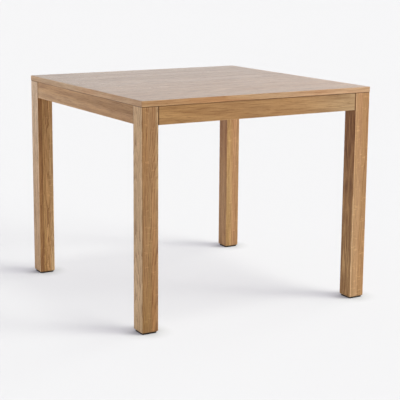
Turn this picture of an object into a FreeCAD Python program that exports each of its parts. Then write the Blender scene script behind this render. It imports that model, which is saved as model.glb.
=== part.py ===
import FreeCAD, Part
import Sketcher
import math
import os

# Square dining table: four square legs flush under the corners of a thin lipped top, four aprons
# between them, and a bolted knock-down joint behind each corner.
#
# Units are millimetres, +Z is up, and the origin is on the floor under the middle of the top.  The
# front is the -Y side and the left is the -X side.
#
# Three local frames carry the pieces:
#   corner    origin at a leg's outer corner, X and Y along the two aprons, into the table
#   diagonal  the same origin, Y along the diagonal into the table, X across it
#   side      origin at the middle of an apron's outer face, X along the apron, Y into the table

DRIVING_SIZES = {
    # Whole table
    "table_width": 900.0,
    "table_depth": 900.0,
    "table_height": 760.0,
    # Top
    "top_thickness": 18.0,
    "top_overhang": 0.5,
    "top_arris_radius": 1.5,
    "top_corner_radius": 2.0,
    "veneer_thickness": 0.6,
    "lipping_width": 5.0,
    # Legs and pads
    "leg_side": 60.0,
    "leg_edge_radius": 3.0,
    "leg_top_easing": 0.8,
    "leg_foot_chamfer": 4.5,
    "inner_flat_cut": 20.0,
    "flat_below_bracket": 2.5,
    "pad_side": 50.0,
    "pad_thickness": 4.0,
    "pad_corner_radius": 0.8,
    # Aprons
    "apron_height": 61.0,
    "apron_thickness": 20.0,
    "apron_recess": 2.0,
    "apron_arris_radius": 1.5,
    "kerf_width": 3.0,
    "kerf_depth": 8.0,
    # Corner brackets
    "plate_thickness": 2.0,
    "bracket_height": 50.0,
    "bracket_gap": 8.0,
    "wing_length": 28.0,
    "hook_length": 6.5,
    "hook_corner_cut": 3.0,
    "bend_radius": 1.5,
    "bead_width": 12.0,
    "bead_rise": 2.5,
    "bead_near_end": 14.0,
    "bead_far_end": 42.0,
    # Hanger bolts, washers and nuts
    "bolt_diameter": 8.0,
    "bolt_spacing": 26.0,
    "bolt_grip_in_leg": 40.0,
    "bolt_point_length": 7.0,
    "bolt_spare_length": 5.0,
    "bolt_hole_clearance": 0.3,
    "washer_diameter": 16.0,
    "washer_thickness": 1.6,
    "nut_across_flats": 13.0,
    "nut_height": 6.5,
    "nut_bore_clearance": 0.05,
    # Wood screws
    "screw_diameter": 4.0,
    "screw_clearance": 0.1,
    "pan_screw_length": 16.0,
    "pan_head_diameter": 8.0,
    "pan_head_height": 2.6,
    "pan_screw_spacing": 30.0,
    "flat_screw_length": 32.0,
    "flat_head_diameter": 8.0,
    "flat_screw_from_end": 60.0,
    # Dowels
    "dowel_diameter": 8.0,
    "dowel_length": 30.0,
    "dowel_spacing": 30.0,
    "dowel_clearance": 0.1,
    # Cleats
    "cleat_width": 22.0,
    "cleat_height": 22.0,
    "cleat_arris_chamfer": 2.0,
    "cleat_end_gap": 15.0,
    # Room left past the end of every blind hole
    "hole_end_room": 0.5,
}

# Corner name: its side of the table along X and along Y, and the turn of its frame about Z.
CORNERS = {
    "front_left": (-1, -1, 0.0),
    "front_right": (1, -1, 90.0),
    "rear_right": (1, 1, 180.0),
    "rear_left": (-1, 1, 270.0),
}

# Side name: its direction along X and along Y, the turn of its frame about Z, and the size of the
# table along it.
SIDES = {
    "front": (0, -1, 0.0, "Sizes.table_width"),
    "right": (1, 0, 90.0, "Sizes.table_depth"),
    "rear": (0, 1, 180.0, "Sizes.table_width"),
    "left": (-1, 0, 270.0, "Sizes.table_depth"),
}

# Turns between the corner frame and the diagonal frame.
DIAGONAL_ANGLE = -45.0
CORNER_ANGLE = 45.0

SCREWS_PER_CLEAT = 3

# Draft of the beads pressed into a bracket, and full angle of a flat screw head, in degrees.
BEAD_DRAFT_ANGLE = 45.0
FLAT_HEAD_ANGLE = 90.0

# Heights above the floor.
TOP_UNDERSIDE = "(Sizes.table_height - Sizes.top_thickness)"
APRON_BOTTOM = "(%s - Sizes.apron_height)" % TOP_UNDERSIDE
APRON_MIDDLE = "(%s - Sizes.apron_height / 2)" % TOP_UNDERSIDE
CLEAT_BOTTOM = "(%s - Sizes.cleat_height)" % TOP_UNDERSIDE

# The front left corner frame's origin in plan; the other corners mirror it.
CORNER_X = "(Sizes.top_overhang - Sizes.table_width / 2)"
CORNER_Y = "(Sizes.top_overhang - Sizes.table_depth / 2)"

# Sizes that follow from the driving ones.
LEG_LENGTH = "(%s - Sizes.pad_thickness)" % TOP_UNDERSIDE
CORE_THICKNESS = "(Sizes.top_thickness - 2 * Sizes.veneer_thickness)"
APRON_MID_LINE = "(Sizes.apron_recess + Sizes.apron_thickness / 2)"
APRON_INNER_FACE = "(Sizes.apron_recess + Sizes.apron_thickness)"
LEG_JOINT_HEIGHT = "(%s - Sizes.apron_height / 2)" % LEG_LENGTH
BRACKET_DROP = "(Sizes.apron_height + Sizes.bracket_height) / 2"

# Reach of a plane square to the diagonal: where it cuts both axes of the corner frame.
FLAT_REACH = "(2 * Sizes.leg_side - Sizes.inner_flat_cut)"
WEB_REACH = "(%s + Sizes.bracket_gap * sqrt(2))" % FLAT_REACH
WEB_INNER_REACH = "(%s + Sizes.plate_thickness * sqrt(2))" % WEB_REACH

# Places along the diagonal, from the leg's outer corner.
LEG_FLAT = "(%s / sqrt(2))" % FLAT_REACH
WEB_OUTER_FACE = "(%s + Sizes.bracket_gap)" % LEG_FLAT
WASHER_SEAT = "(%s + Sizes.plate_thickness)" % WEB_OUTER_FACE
NUT_SEAT = "(%s + Sizes.washer_thickness)" % WASHER_SEAT
BOLT_END = "(%s + Sizes.nut_height + Sizes.bolt_spare_length)" % NUT_SEAT
BOLT_TIP = "(%s - Sizes.bolt_grip_in_leg)" % LEG_FLAT

# Places along an apron, from the leg's outer corner.
WING_START = "(%s - %s)" % (WEB_REACH, APRON_INNER_FACE)
WING_MIDDLE = "(%s + Sizes.wing_length / 2)" % WING_START
HOOK_FACE = "(%s + Sizes.wing_length)" % WING_START

# Places along an apron, from its own end.
KERF_FROM_END = "(%s - Sizes.leg_side)" % HOOK_FACE
WING_SCREW_FROM_END = "(%s - Sizes.leg_side)" % WING_MIDDLE

# Holes, each for what goes in it.
SCREW_HOLE = "(Sizes.screw_diameter + 2 * Sizes.screw_clearance)"
BOLT_HOLE = "(Sizes.bolt_diameter + 2 * Sizes.bolt_hole_clearance)"
NUT_BORE = "(Sizes.bolt_diameter + 2 * Sizes.nut_bore_clearance)"
DOWEL_HOLE = "(Sizes.dowel_diameter + 2 * Sizes.dowel_clearance)"
DOWEL_HOLE_DEPTH = "(Sizes.dowel_length / 2 + Sizes.hole_end_room)"
COUNTERSINK = "(Sizes.flat_head_diameter + 2 * Sizes.screw_clearance)"
PAN_SCREW_DEPTH = "(Sizes.pan_screw_length - Sizes.plate_thickness + Sizes.hole_end_room)"
TOP_SCREW_DEPTH = "(Sizes.flat_screw_length - Sizes.cleat_height + Sizes.hole_end_room)"

UP = FreeCAD.Vector(0, 0, 1)
INTO_TABLE = FreeCAD.Vector(1, 1, 0)
SMALL = 1e-4

doc = FreeCAD.newDocument("square_dining_table")
sizes = doc.addObject("Spreadsheet::Sheet", "Sizes")


# ---------------------------------------------------------------------------------------------
# Sheet, bodies and places
# ---------------------------------------------------------------------------------------------

def fill_sheet():
    """Write every driving size into the sheet, a name and a number in each line."""
    for index, (name, size) in enumerate(DRIVING_SIZES.items()):
        sizes.set("A%d" % (index + 1), name)
        sizes.set("B%d" % (index + 1), str(size))
        sizes.setAlias("B%d" % (index + 1), name)
    doc.recompute()


def value(expression):
    """Return what an expression of sheet sizes comes to."""
    return float(sizes.evalExpression(expression))


def new_body(label):
    """Start a sub-part; its label names its file."""
    body = doc.addObject("PartDesign::Body", label)
    body.Label = label
    return body


def place(body, x, y, z, turn=0.0):
    """Put a body's own frame at a point given by expressions, turned about Z."""
    body.Placement = FreeCAD.Placement(FreeCAD.Vector(), FreeCAD.Rotation(UP, turn))
    body.setExpression("Placement.Base.x", x)
    body.setExpression("Placement.Base.y", y)
    body.setExpression("Placement.Base.z", z)


def place_at_corner(body, corner, height, turn=0.0):
    """Put a body in a corner frame, or in its diagonal frame with the turn DIAGONAL_ANGLE."""
    along_x, along_y, angle = CORNERS[corner]
    x = "%d * (Sizes.table_width / 2 - Sizes.top_overhang)" % along_x
    y = "%d * (Sizes.table_depth / 2 - Sizes.top_overhang)" % along_y
    place(body, x, y, height, angle + turn)


def place_at_side(body, side, height):
    """Put a body in a side frame, its origin on the outer face of that side's apron."""
    along_x, along_y, angle, _ = SIDES[side]
    x = "%d * (Sizes.table_width / 2 - Sizes.top_overhang - Sizes.apron_recess)" % along_x
    y = "%d * (Sizes.table_depth / 2 - Sizes.top_overhang - Sizes.apron_recess)" % along_y
    place(body, x, y, height, angle)


def apron_length(side):
    """Return the clear run between the two legs of a side."""
    return "(%s - 2 * Sizes.top_overhang - 2 * Sizes.leg_side)" % SIDES[side][3]


def cleat_length(side):
    """Return the run between the two kerfs of a side, less a gap at each end."""
    taken = "(%s + Sizes.kerf_width + Sizes.cleat_end_gap)" % KERF_FROM_END
    return "(%s - 2 * %s)" % (apron_length(side), taken)


def cleat_screw_run(side):
    """Return the run from a cleat's first screw to its last."""
    return "(%s - 2 * Sizes.flat_screw_from_end)" % cleat_length(side)


def cleat_screw_places(side):
    """Return the places of a cleat's screws along its side."""
    run = cleat_screw_run(side)
    step = "%s / %d" % (run, SCREWS_PER_CLEAT - 1)
    return ["(%d * %s - %s / 2)" % (index, step, run) for index in range(SCREWS_PER_CLEAT)]


# ---------------------------------------------------------------------------------------------
# Sketches
# ---------------------------------------------------------------------------------------------

def origin_part(body, role):
    """Return one of the body's own origin planes or axes."""
    return next(item for item in body.Origin.OriginFeatures if item.Role == role)


def new_sketch(body, name, role, lift="0", across="0", up="0", turn=0.0):
    """Add a sketch on an origin plane, lifted off it, moved in it and turned in it."""
    sketch = body.newObject("Sketcher::SketchObject", name)
    sketch.AttachmentSupport = [(origin_part(body, role), "")]
    sketch.MapMode = "FlatFace"
    sketch.AttachmentOffset = FreeCAD.Placement(FreeCAD.Vector(), FreeCAD.Rotation(UP, turn))
    sketch.setExpression("AttachmentOffset.Base.x", across)
    sketch.setExpression("AttachmentOffset.Base.y", up)
    sketch.setExpression("AttachmentOffset.Base.z", lift)
    return sketch


def hold(sketch, kind, *arguments):
    """Add a dimension to a sketch and bind it to the expression given last."""
    expression = arguments[-1]
    index = sketch.addConstraint(Sketcher.Constraint(kind, *arguments[:-1], value(expression)))
    sketch.setExpression("Constraints[%d]" % index, expression)


def hold_point(sketch, edge, end, x, y):
    """Dimension one point of an edge from the sketch's origin."""
    hold(sketch, "DistanceX", -1, 1, edge, end, x)
    hold(sketch, "DistanceY", -1, 1, edge, end, y)


def arc_between(start, end, radius):
    """Return the shorter arc from start to end, counter-clockwise about its centre."""
    chord = end - start
    rise = math.sqrt(max(radius ** 2 - (chord.Length / 2) ** 2, 0.0))
    across = FreeCAD.Vector(-chord.y, chord.x, 0).normalize()
    circle = Part.Circle((start + end) * 0.5 + across * rise, UP, radius)
    return Part.ArcOfCircle(circle, circle.parameter(start), circle.parameter(end))


def draw_outline(sketch, corners):
    """Draw a closed outline through corners (x, y) or (x, y, radius), counter-clockwise.

    A radius makes the edge that leaves the corner an arc that bulges outwards.
    """
    points = [FreeCAD.Vector(value(corner[0]), value(corner[1]), 0) for corner in corners]
    first = sketch.GeometryCount
    count = len(corners)
    for index, corner in enumerate(corners):
        start = points[index]
        end = points[(index + 1) % count]
        if len(corner) == 3:
            sketch.addGeometry(arc_between(start, end, value(corner[2])), False)
        else:
            sketch.addGeometry(Part.LineSegment(start, end), False)
    for index, corner in enumerate(corners):
        edge = first + index
        following = first + (index + 1) % count
        sketch.addConstraint(Sketcher.Constraint("Coincident", edge, 2, following, 1))
        hold_point(sketch, edge, 1, corner[0], corner[1])
        if len(corner) == 3:
            hold(sketch, "Radius", edge, corner[2])


def draw_rectangle(sketch, left, bottom, right, top):
    """Draw an upright rectangle from its four sides."""
    draw_outline(sketch, [(left, bottom), (right, bottom), (right, top), (left, top)])


def draw_circle(sketch, x, y, diameter):
    """Draw a circle round a point."""
    circle = Part.Circle(FreeCAD.Vector(value(x), value(y), 0), UP, value(diameter) / 2)
    edge = sketch.addGeometry(circle, False)
    hold_point(sketch, edge, 3, x, y)
    hold(sketch, "Diameter", edge, diameter)


# ---------------------------------------------------------------------------------------------
# Features
# ---------------------------------------------------------------------------------------------

def add(body, kind, name, sketch, length, both_ways=False, reverse=False, draft=0.0):
    """Extrude a sketch as a Pad or a Pocket, narrowing by a draft; a Pocket has to remove something."""
    before = 0.0 if kind == "Pad" else body.Shape.Volume
    feature = body.newObject("PartDesign::%s" % kind, name)
    feature.Profile = sketch
    feature.Midplane = both_ways
    feature.Reversed = reverse
    feature.TaperAngle = -draft
    feature.setExpression("Length", length)
    doc.recompute()
    if kind == "Pocket" and not body.Shape.Volume < before - SMALL:
        raise RuntimeError("%s removes nothing" % name)
    return feature


def turn_solid(body, name, sketch, axis):
    """Turn a half profile once round an axis of its sketch."""
    feature = body.newObject("PartDesign::Revolution", name)
    feature.Profile = sketch
    feature.ReferenceAxis = (sketch, [axis])
    feature.Angle = 360
    doc.recompute()
    return feature


def aim(feature, x, y, z, direction):
    """Start a primitive at a point and run it along a direction."""
    feature.Placement = FreeCAD.Placement(FreeCAD.Vector(), FreeCAD.Rotation(UP, direction))
    feature.setExpression("Placement.Base.x", x)
    feature.setExpression("Placement.Base.y", y)
    feature.setExpression("Placement.Base.z", z)


def cylinder(body, kind, name, diameter, length, start, direction):
    """Add or cut a cylinder that runs from a point (x, y, z) along a direction."""
    feature = body.newObject("PartDesign::%sCylinder" % kind, name)
    feature.setExpression("Radius", "%s / 2" % diameter)
    feature.setExpression("Height", length)
    aim(feature, *start, direction)
    doc.recompute()
    return feature


def countersink(body, name, sketch):
    """Bore every circle of a sketch right through, with a seat for a flat screw head."""
    feature = body.newObject("PartDesign::Hole", name)
    feature.Profile = sketch
    feature.Reversed = True
    feature.DepthType = "ThroughAll"
    feature.setExpression("Diameter", SCREW_HOLE)
    feature.HoleCutType = "Countersink"
    feature.HoleCutCountersinkAngle = FLAT_HEAD_ANGLE
    feature.setExpression("HoleCutDiameter", COUNTERSINK)
    doc.recompute()


def row(name, direction, length, count):
    """Prepare a row of copies along a direction, for transform()."""
    pattern = doc.addObject("PartDesign::LinearPattern", name)
    pattern.Direction = direction
    pattern.setExpression("Length", length)
    pattern.Occurrences = count
    return pattern


def mirror(name, mirror_plane):
    """Prepare a mirroring in a plane, for transform()."""
    mirroring = doc.addObject("PartDesign::Mirrored", name)
    mirroring.MirrorPlane = (mirror_plane, [""])
    return mirroring


def transform(body, name, originals, steps):
    """Copy features by one step after another and make all the copies the body's result."""
    feature = body.newObject("PartDesign::MultiTransform", name)
    for step in steps:
        body.addObject(step)
    feature.Originals = originals
    feature.Transformations = steps
    body.Tip = feature
    doc.recompute()


def copy_to_corners(body, name, originals, spacing):
    """Copy features of the front left corner upwards by a spacing, and then to every corner."""
    upwards = row(name + "_upwards", (origin_part(body, "Z_Axis"), [""]), spacing, 2)
    rightwards = mirror(name + "_rightwards", origin_part(body, "YZ_Plane"))
    backwards = mirror(name + "_backwards", origin_part(body, "XZ_Plane"))
    transform(body, name, originals, [upwards, rightwards, backwards])


def edges_with_ends(feature, test):
    """Return the names of a feature's edges whose two ends both pass a test."""
    names = []
    for index, edge in enumerate(feature.Shape.Edges):
        ends = [edge.valueAt(edge.FirstParameter), edge.valueAt(edge.LastParameter)]
        if all(test(point) for point in ends):
            names.append("Edge%d" % (index + 1))
    return names


def upright_edges(feature, at_least=SMALL):
    """Return the names of a feature's edges that rise by more than a length."""
    names = []
    for index, edge in enumerate(feature.Shape.Edges):
        rise = abs(edge.valueAt(edge.LastParameter).z - edge.valueAt(edge.FirstParameter).z)
        if rise > at_least:
            names.append("Edge%d" % (index + 1))
    return names


def dress(body, kind, name, base, edges, size):
    """Fillet or chamfer some edges of a feature by a bound size."""
    feature = body.newObject("PartDesign::%s" % kind, name)
    feature.Base = (base, edges)
    feature.setExpression("Radius" if kind == "Fillet" else "Size", size)
    doc.recompute()
    return feature


def at(number, target):
    """Tell whether a coordinate lies at a target."""
    return abs(number - target) < SMALL


# ---------------------------------------------------------------------------------------------
# Top
# ---------------------------------------------------------------------------------------------

def top_screw_places():
    """Return the points, in plan, where the cleat screws enter the top."""
    inset = "(Sizes.top_overhang + %s + Sizes.cleat_width / 2)" % APRON_INNER_FACE
    points = []
    for side, (along_x, along_y, _, _) in SIDES.items():
        for run in cleat_screw_places(side):
            if along_y:
                points.append((run, "%d * (Sizes.table_depth / 2 - %s)" % (along_y, inset)))
            else:
                points.append(("%d * (Sizes.table_width / 2 - %s)" % (along_x, inset), run))
    return points


def build_top_layer(label, underside, thickness, screw_depth=None):
    """Build one layer of the top inside the lippings, with screw holes from below if it has any."""
    body = new_body(label)
    outline = new_sketch(body, label + "_outline", "XY_Plane")
    half_width = "(Sizes.table_width / 2 - Sizes.lipping_width)"
    half_depth = "(Sizes.table_depth / 2 - Sizes.lipping_width)"
    draw_rectangle(outline, "-" + half_width, "-" + half_depth, half_width, half_depth)
    add(body, "Pad", label + "_sheet", outline, thickness)
    if screw_depth:
        holes = new_sketch(body, label + "_screws", "XY_Plane")
        for x, y in top_screw_places():
            draw_circle(holes, x, y, SCREW_HOLE)
        add(body, "Pocket", label + "_screw_holes", holes, screw_depth, reverse=True)
    place(body, "0", "0", underside)


def build_top_layers():
    """Build the core and the veneers above and below it."""
    core_underside = "(%s + Sizes.veneer_thickness)" % TOP_UNDERSIDE
    face_underside = "(Sizes.table_height - Sizes.veneer_thickness)"
    depth_in_core = "(%s - Sizes.veneer_thickness)" % TOP_SCREW_DEPTH
    build_top_layer("tabletop_core", core_underside, CORE_THICKNESS, depth_in_core)
    build_top_layer("tabletop_top_veneer", face_underside, "Sizes.veneer_thickness")
    veneer = "Sizes.veneer_thickness"
    build_top_layer("tabletop_underside_veneer", TOP_UNDERSIDE, veneer, veneer)


def build_lipping(side):
    """Build one solid edge strip, mitred at both ends, with its outer arrises rounded."""
    label = "tabletop_lipping_" + side
    along_x, along_y, angle, size = SIDES[side]
    body = new_body(label)
    end = "%s / 2" % size
    radius = "Sizes.top_corner_radius"
    on_mitre = "Sizes.top_corner_radius * (1 - sqrt(0.5))"
    width = "Sizes.lipping_width"
    plan = new_sketch(body, label + "_plan", "XY_Plane")
    draw_outline(plan, [
        ("-%s + %s" % (end, on_mitre), on_mitre, radius),
        ("-%s + %s" % (end, radius), "0"),
        ("%s - %s" % (end, radius), "0", radius),
        ("%s - %s" % (end, on_mitre), on_mitre),
        ("%s - %s" % (end, width), width),
        ("-%s + %s" % (end, width), width),
    ])
    strip = add(body, "Pad", label + "_strip", plan, "Sizes.top_thickness")
    inner_face = value(width)
    outer = edges_with_ends(strip, lambda point: point.y < inner_face - SMALL)
    upright = upright_edges(strip)
    arrises = [edge for edge in outer if edge not in upright]
    dress(body, "Fillet", label + "_arrises", strip, arrises, "Sizes.top_arris_radius")
    x = "%d * Sizes.table_width / 2" % along_x
    y = "%d * Sizes.table_depth / 2" % along_y
    place(body, x, y, TOP_UNDERSIDE, angle)


# ---------------------------------------------------------------------------------------------
# Legs and pads
# ---------------------------------------------------------------------------------------------

def build_leg(corner):
    """Build a leg: eased edges, foot chamfer, inner flat, bolt bores and dowel holes."""
    label = "leg_" + corner
    body = new_body(label)
    section = new_sketch(body, label + "_section", "XY_Plane")
    draw_rectangle(section, "0", "0", "Sizes.leg_side", "Sizes.leg_side")
    shaft = add(body, "Pad", label + "_shaft", section, LEG_LENGTH)
    length = value(LEG_LENGTH)
    foot_edges = edges_with_ends(shaft, lambda point: at(point.z, 0))
    foot = dress(body, "Chamfer", label + "_foot", shaft, foot_edges, "Sizes.leg_foot_chamfer")
    long_edges = upright_edges(foot, length / 2)
    eased = dress(body, "Fillet", label + "_edges", foot, long_edges, "Sizes.leg_edge_radius")
    top_edges = edges_with_ends(eased, lambda point: at(point.z, length))
    dress(body, "Chamfer", label + "_top", eased, top_edges, "Sizes.leg_top_easing")

    # The inner corner is cut off square to the diagonal, from the top down.
    flat = new_sketch(body, label + "_flat", "XY_Plane", LEG_LENGTH)
    start = "%s - Sizes.leg_side" % FLAT_REACH
    draw_outline(flat, [
        ("Sizes.leg_side", start),
        ("Sizes.leg_side", "Sizes.leg_side"),
        (start, "Sizes.leg_side"),
    ])
    add(body, "Pocket", label + "_inner_flat", flat, BRACKET_DROP + " + Sizes.flat_below_bracket")

    bore_end = "(%s - Sizes.hole_end_room) / sqrt(2)" % BOLT_TIP
    bore_length = "Sizes.bolt_grip_in_leg + Sizes.hole_end_room + Sizes.bracket_gap"
    for name, sign in (("lower", "-"), ("upper", "+")):
        height = "%s %s Sizes.bolt_spacing / 2" % (LEG_JOINT_HEIGHT, sign)
        start = (bore_end, bore_end, height)
        bore = "%s_%s_bolt_bore" % (label, name)
        cylinder(body, "Subtractive", bore, BOLT_HOLE, bore_length, start, INTO_TABLE)
    faces = (("x", "YZ_Plane", "Sizes.leg_side"), ("y", "XZ_Plane", "-Sizes.leg_side"))
    for axis, role, lift in faces:
        places = new_sketch(body, "%s_dowels_along_%s" % (label, axis), role, lift)
        for sign in "-+":
            height = "%s %s Sizes.dowel_spacing / 2" % (LEG_JOINT_HEIGHT, sign)
            draw_circle(places, APRON_MID_LINE, height, DOWEL_HOLE)
        name = "%s_dowel_holes_along_%s" % (label, axis)
        add(body, "Pocket", name, places, DOWEL_HOLE_DEPTH, reverse=(axis == "y"))
    place_at_corner(body, corner, "Sizes.pad_thickness")


def build_pad(corner):
    """Build the square pad glued under a leg."""
    label = "foot_pad_" + corner
    body = new_body(label)
    outline = new_sketch(body, label + "_outline", "XY_Plane")
    low = "(Sizes.leg_side - Sizes.pad_side) / 2"
    high = "(Sizes.leg_side + Sizes.pad_side) / 2"
    draw_rectangle(outline, low, low, high, high)
    block = add(body, "Pad", label + "_block", outline, "Sizes.pad_thickness")
    dress(body, "Fillet", label + "_corners", block, upright_edges(block), "Sizes.pad_corner_radius")
    place_at_corner(body, corner, "0")


# ---------------------------------------------------------------------------------------------
# Aprons and cleats
# ---------------------------------------------------------------------------------------------

def build_apron(side):
    """Build an apron: eased board, kerfs for the hooks, dowel holes and screw holes."""
    label = "apron_" + side
    length = apron_length(side)
    body = new_body(label)
    section = new_sketch(body, label + "_section", "YZ_Plane")
    draw_rectangle(section, "0", "0", "Sizes.apron_thickness", "Sizes.apron_height")
    board = add(body, "Pad", label + "_board", section, length, both_ways=True)
    thickness = value("Sizes.apron_thickness")

    def on_shown_edge(point):
        """Tell whether a point is on the outer face or on the lower inner arris."""
        return at(point.y, 0) or (at(point.z, 0) and at(point.y, thickness))

    eased_edges = edges_with_ends(board, on_shown_edge)
    dress(body, "Fillet", label + "_arrises", board, eased_edges, "Sizes.apron_arris_radius")

    kerfs = new_sketch(body, label + "_kerf_plan", "XY_Plane")
    floor = "Sizes.apron_thickness - Sizes.kerf_depth"
    mouth = "Sizes.apron_thickness"
    bevel = "Sizes.bend_radius"
    outer = "(%s / 2 - %s)" % (length, KERF_FROM_END)
    inner = "(%s - Sizes.kerf_width)" % outer
    draw_outline(kerfs, [
        (inner, floor),
        (outer, floor),
        (outer, "%s - %s" % (mouth, bevel)),
        ("%s + %s" % (outer, bevel), mouth),
        (inner, mouth),
    ])
    draw_outline(kerfs, [
        ("-" + outer, floor),
        ("-" + inner, floor),
        ("-" + inner, mouth),
        ("-%s - %s" % (outer, bevel), mouth),
        ("-" + outer, "%s - %s" % (mouth, bevel)),
    ])
    add(body, "Pocket", label + "_kerfs", kerfs, "Sizes.apron_height", reverse=True)

    middle = "Sizes.apron_height / 2"
    ends = (("left", "-"), ("right", ""))
    for end, sign in ends:
        places = new_sketch(body, "%s_%s_dowels" % (label, end), "YZ_Plane", "%s%s / 2" % (sign, length))
        for half in "-+":
            height = "%s %s Sizes.dowel_spacing / 2" % (middle, half)
            draw_circle(places, "Sizes.apron_thickness / 2", height, DOWEL_HOLE)
        name = "%s_%s_dowel_holes" % (label, end)
        add(body, "Pocket", name, places, DOWEL_HOLE_DEPTH, reverse=(end == "left"))

    back = "-Sizes.apron_thickness"
    wing_screws = new_sketch(body, label + "_wing_screws", "XZ_Plane", back)
    for end, sign in ends:
        for half in "-+":
            run = "%s(%s / 2 - %s)" % (sign, length, WING_SCREW_FROM_END)
            height = "%s %s Sizes.pan_screw_spacing / 2" % (middle, half)
            draw_circle(wing_screws, run, height, SCREW_HOLE)
    add(body, "Pocket", label + "_wing_screw_holes", wing_screws, PAN_SCREW_DEPTH, reverse=True)
    place_at_side(body, side, APRON_BOTTOM)


def build_cleat(side):
    """Build the strip, glued along an apron, that the top is screwed to from below."""
    label = "cleat_" + side
    body = new_body(label)
    section = new_sketch(body, label + "_section", "YZ_Plane")
    back = "Sizes.apron_thickness"
    front = "Sizes.apron_thickness + Sizes.cleat_width"
    cut = "Sizes.cleat_arris_chamfer"
    draw_outline(section, [
        (back, "0"),
        ("%s - %s" % (front, cut), "0"),
        (front, cut),
        (front, "Sizes.cleat_height"),
        (back, "Sizes.cleat_height"),
    ])
    add(body, "Pad", label + "_strip", section, cleat_length(side), both_ways=True)
    screws = new_sketch(body, label + "_screws", "XY_Plane")
    for run in cleat_screw_places(side):
        draw_circle(screws, run, "%s + Sizes.cleat_width / 2" % back, SCREW_HOLE)
    countersink(body, label + "_screw_holes", screws)
    place_at_side(body, side, CLEAT_BOTTOM)


# ---------------------------------------------------------------------------------------------
# Corner brackets
# ---------------------------------------------------------------------------------------------

def build_bracket(corner):
    """Build a pressed-steel bracket: a web square to the diagonal, two wings and two hooks."""
    label = "corner_bracket_" + corner
    body = new_body(label)
    face = APRON_INNER_FACE
    skin = "(%s + Sizes.plate_thickness)" % face
    tip = "(%s - Sizes.hook_length)" % face
    hook_back = "(%s + Sizes.plate_thickness)" % HOOK_FACE
    web_inner = "(%s - %s)" % (WEB_INNER_REACH, skin)
    plan = new_sketch(body, label + "_plan", "XY_Plane", turn=CORNER_ANGLE)
    draw_outline(plan, [
        (WING_START, face),
        (HOOK_FACE, face),
        (HOOK_FACE, tip),
        (hook_back, tip),
        (hook_back, skin),
        (web_inner, skin),
        (skin, web_inner),
        (skin, hook_back),
        (tip, hook_back),
        (tip, HOOK_FACE),
        (face, HOOK_FACE),
        (face, WING_START),
    ])
    sheet = add(body, "Pad", label + "_sheet", plan, "Sizes.bracket_height", both_ways=True)

    # Each bend is rounded on both faces of the sheet: the bend radius inside it, and one sheet
    # thickness more outside it.
    inside = bend_edges(sheet, [(web_inner, skin), (HOOK_FACE, face)])
    tight = dress(body, "Fillet", label + "_inner_bends", sheet, inside, "Sizes.bend_radius")
    outside = bend_edges(tight, [(WING_START, face), (hook_back, skin)])
    outer_radius = "Sizes.bend_radius + Sizes.plate_thickness"
    bent = dress(body, "Fillet", label + "_outer_bends", tight, outside, outer_radius)
    corners = hook_corner_edges(bent, (HOOK_FACE, tip), (hook_back, tip))
    dress(body, "Chamfer", label + "_hook_corners", bent, corners, "Sizes.hook_corner_cut")

    # The beads are pressed through the sheet: raised on its inner face, hollow on its outer one.
    raised = new_sketch(body, label + "_bead_backs", "XZ_Plane", "-%s" % WASHER_SEAT)
    draw_beads(raised, "0")
    rise = "Sizes.bead_rise"
    add(body, "Pad", label + "_beads", raised, rise, reverse=True, draft=BEAD_DRAFT_ANGLE)
    hollow = new_sketch(body, label + "_bead_mouths", "XZ_Plane", "-%s" % WEB_OUTER_FACE)
    draw_beads(hollow, "Sizes.plate_thickness * (sqrt(2) - 1)")
    add(body, "Pocket", label + "_bead_hollows", hollow, rise, draft=BEAD_DRAFT_ANGLE)

    bolts = new_sketch(body, label + "_bolts", "XZ_Plane", "-%s" % WEB_OUTER_FACE)
    for sign in ("-", ""):
        draw_circle(bolts, "0", "%sSizes.bolt_spacing / 2" % sign, BOLT_HOLE)
    add(body, "Pocket", label + "_bolt_holes", bolts, "Sizes.plate_thickness")
    across = "(%s - %s) / sqrt(2)" % (WING_MIDDLE, face)
    inwards = "(%s + %s) / sqrt(2)" % (WING_MIDDLE, face)
    start = (across, inwards, "-Sizes.pan_screw_spacing / 2")
    out_of_apron = FreeCAD.Vector(-1, 1, 0)
    depth = "Sizes.plate_thickness"
    hole = cylinder(body, "Subtractive", label + "_screw_hole", SCREW_HOLE, depth, start, out_of_apron)
    upwards = row(label + "_holes_up", (origin_part(body, "Z_Axis"), [""]), "Sizes.pan_screw_spacing", 2)
    opposite = mirror(label + "_holes_across", origin_part(body, "YZ_Plane"))
    transform(body, label + "_screw_holes", [hole], [upwards, opposite])
    place_at_corner(body, corner, APRON_MIDDLE, DIAGONAL_ANGLE)


def across_diagonal(points):
    """Turn corner-frame points into diagonal-frame ones, with their mirror points."""
    turned = []
    for x, y in points:
        across = (value(x) - value(y)) / math.sqrt(2)
        inwards = (value(x) + value(y)) / math.sqrt(2)
        turned += [(across, inwards), (-across, inwards)]
    return turned


def bend_edges(feature, bends):
    """Return the names of a bracket's upright edges at some plan points on both its sides."""
    points = across_diagonal(bends)
    names = []
    for index, edge in enumerate(feature.Shape.Edges):
        middle = edge.CenterOfMass
        if any(at(middle.x, x) and at(middle.y, y) for x, y in points):
            names.append("Edge%d" % (index + 1))
    return names


def hook_corner_edges(feature, *tips):
    """Return the names of the short edges across the sheet at the hooks' tips."""
    points = across_diagonal(tips)

    def at_tip(point):
        return any(at(point.x, x) and at(point.y, y) for x, y in points)

    upright = upright_edges(feature)
    return [name for name in edges_with_ends(feature, at_tip) if name not in upright]


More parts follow.
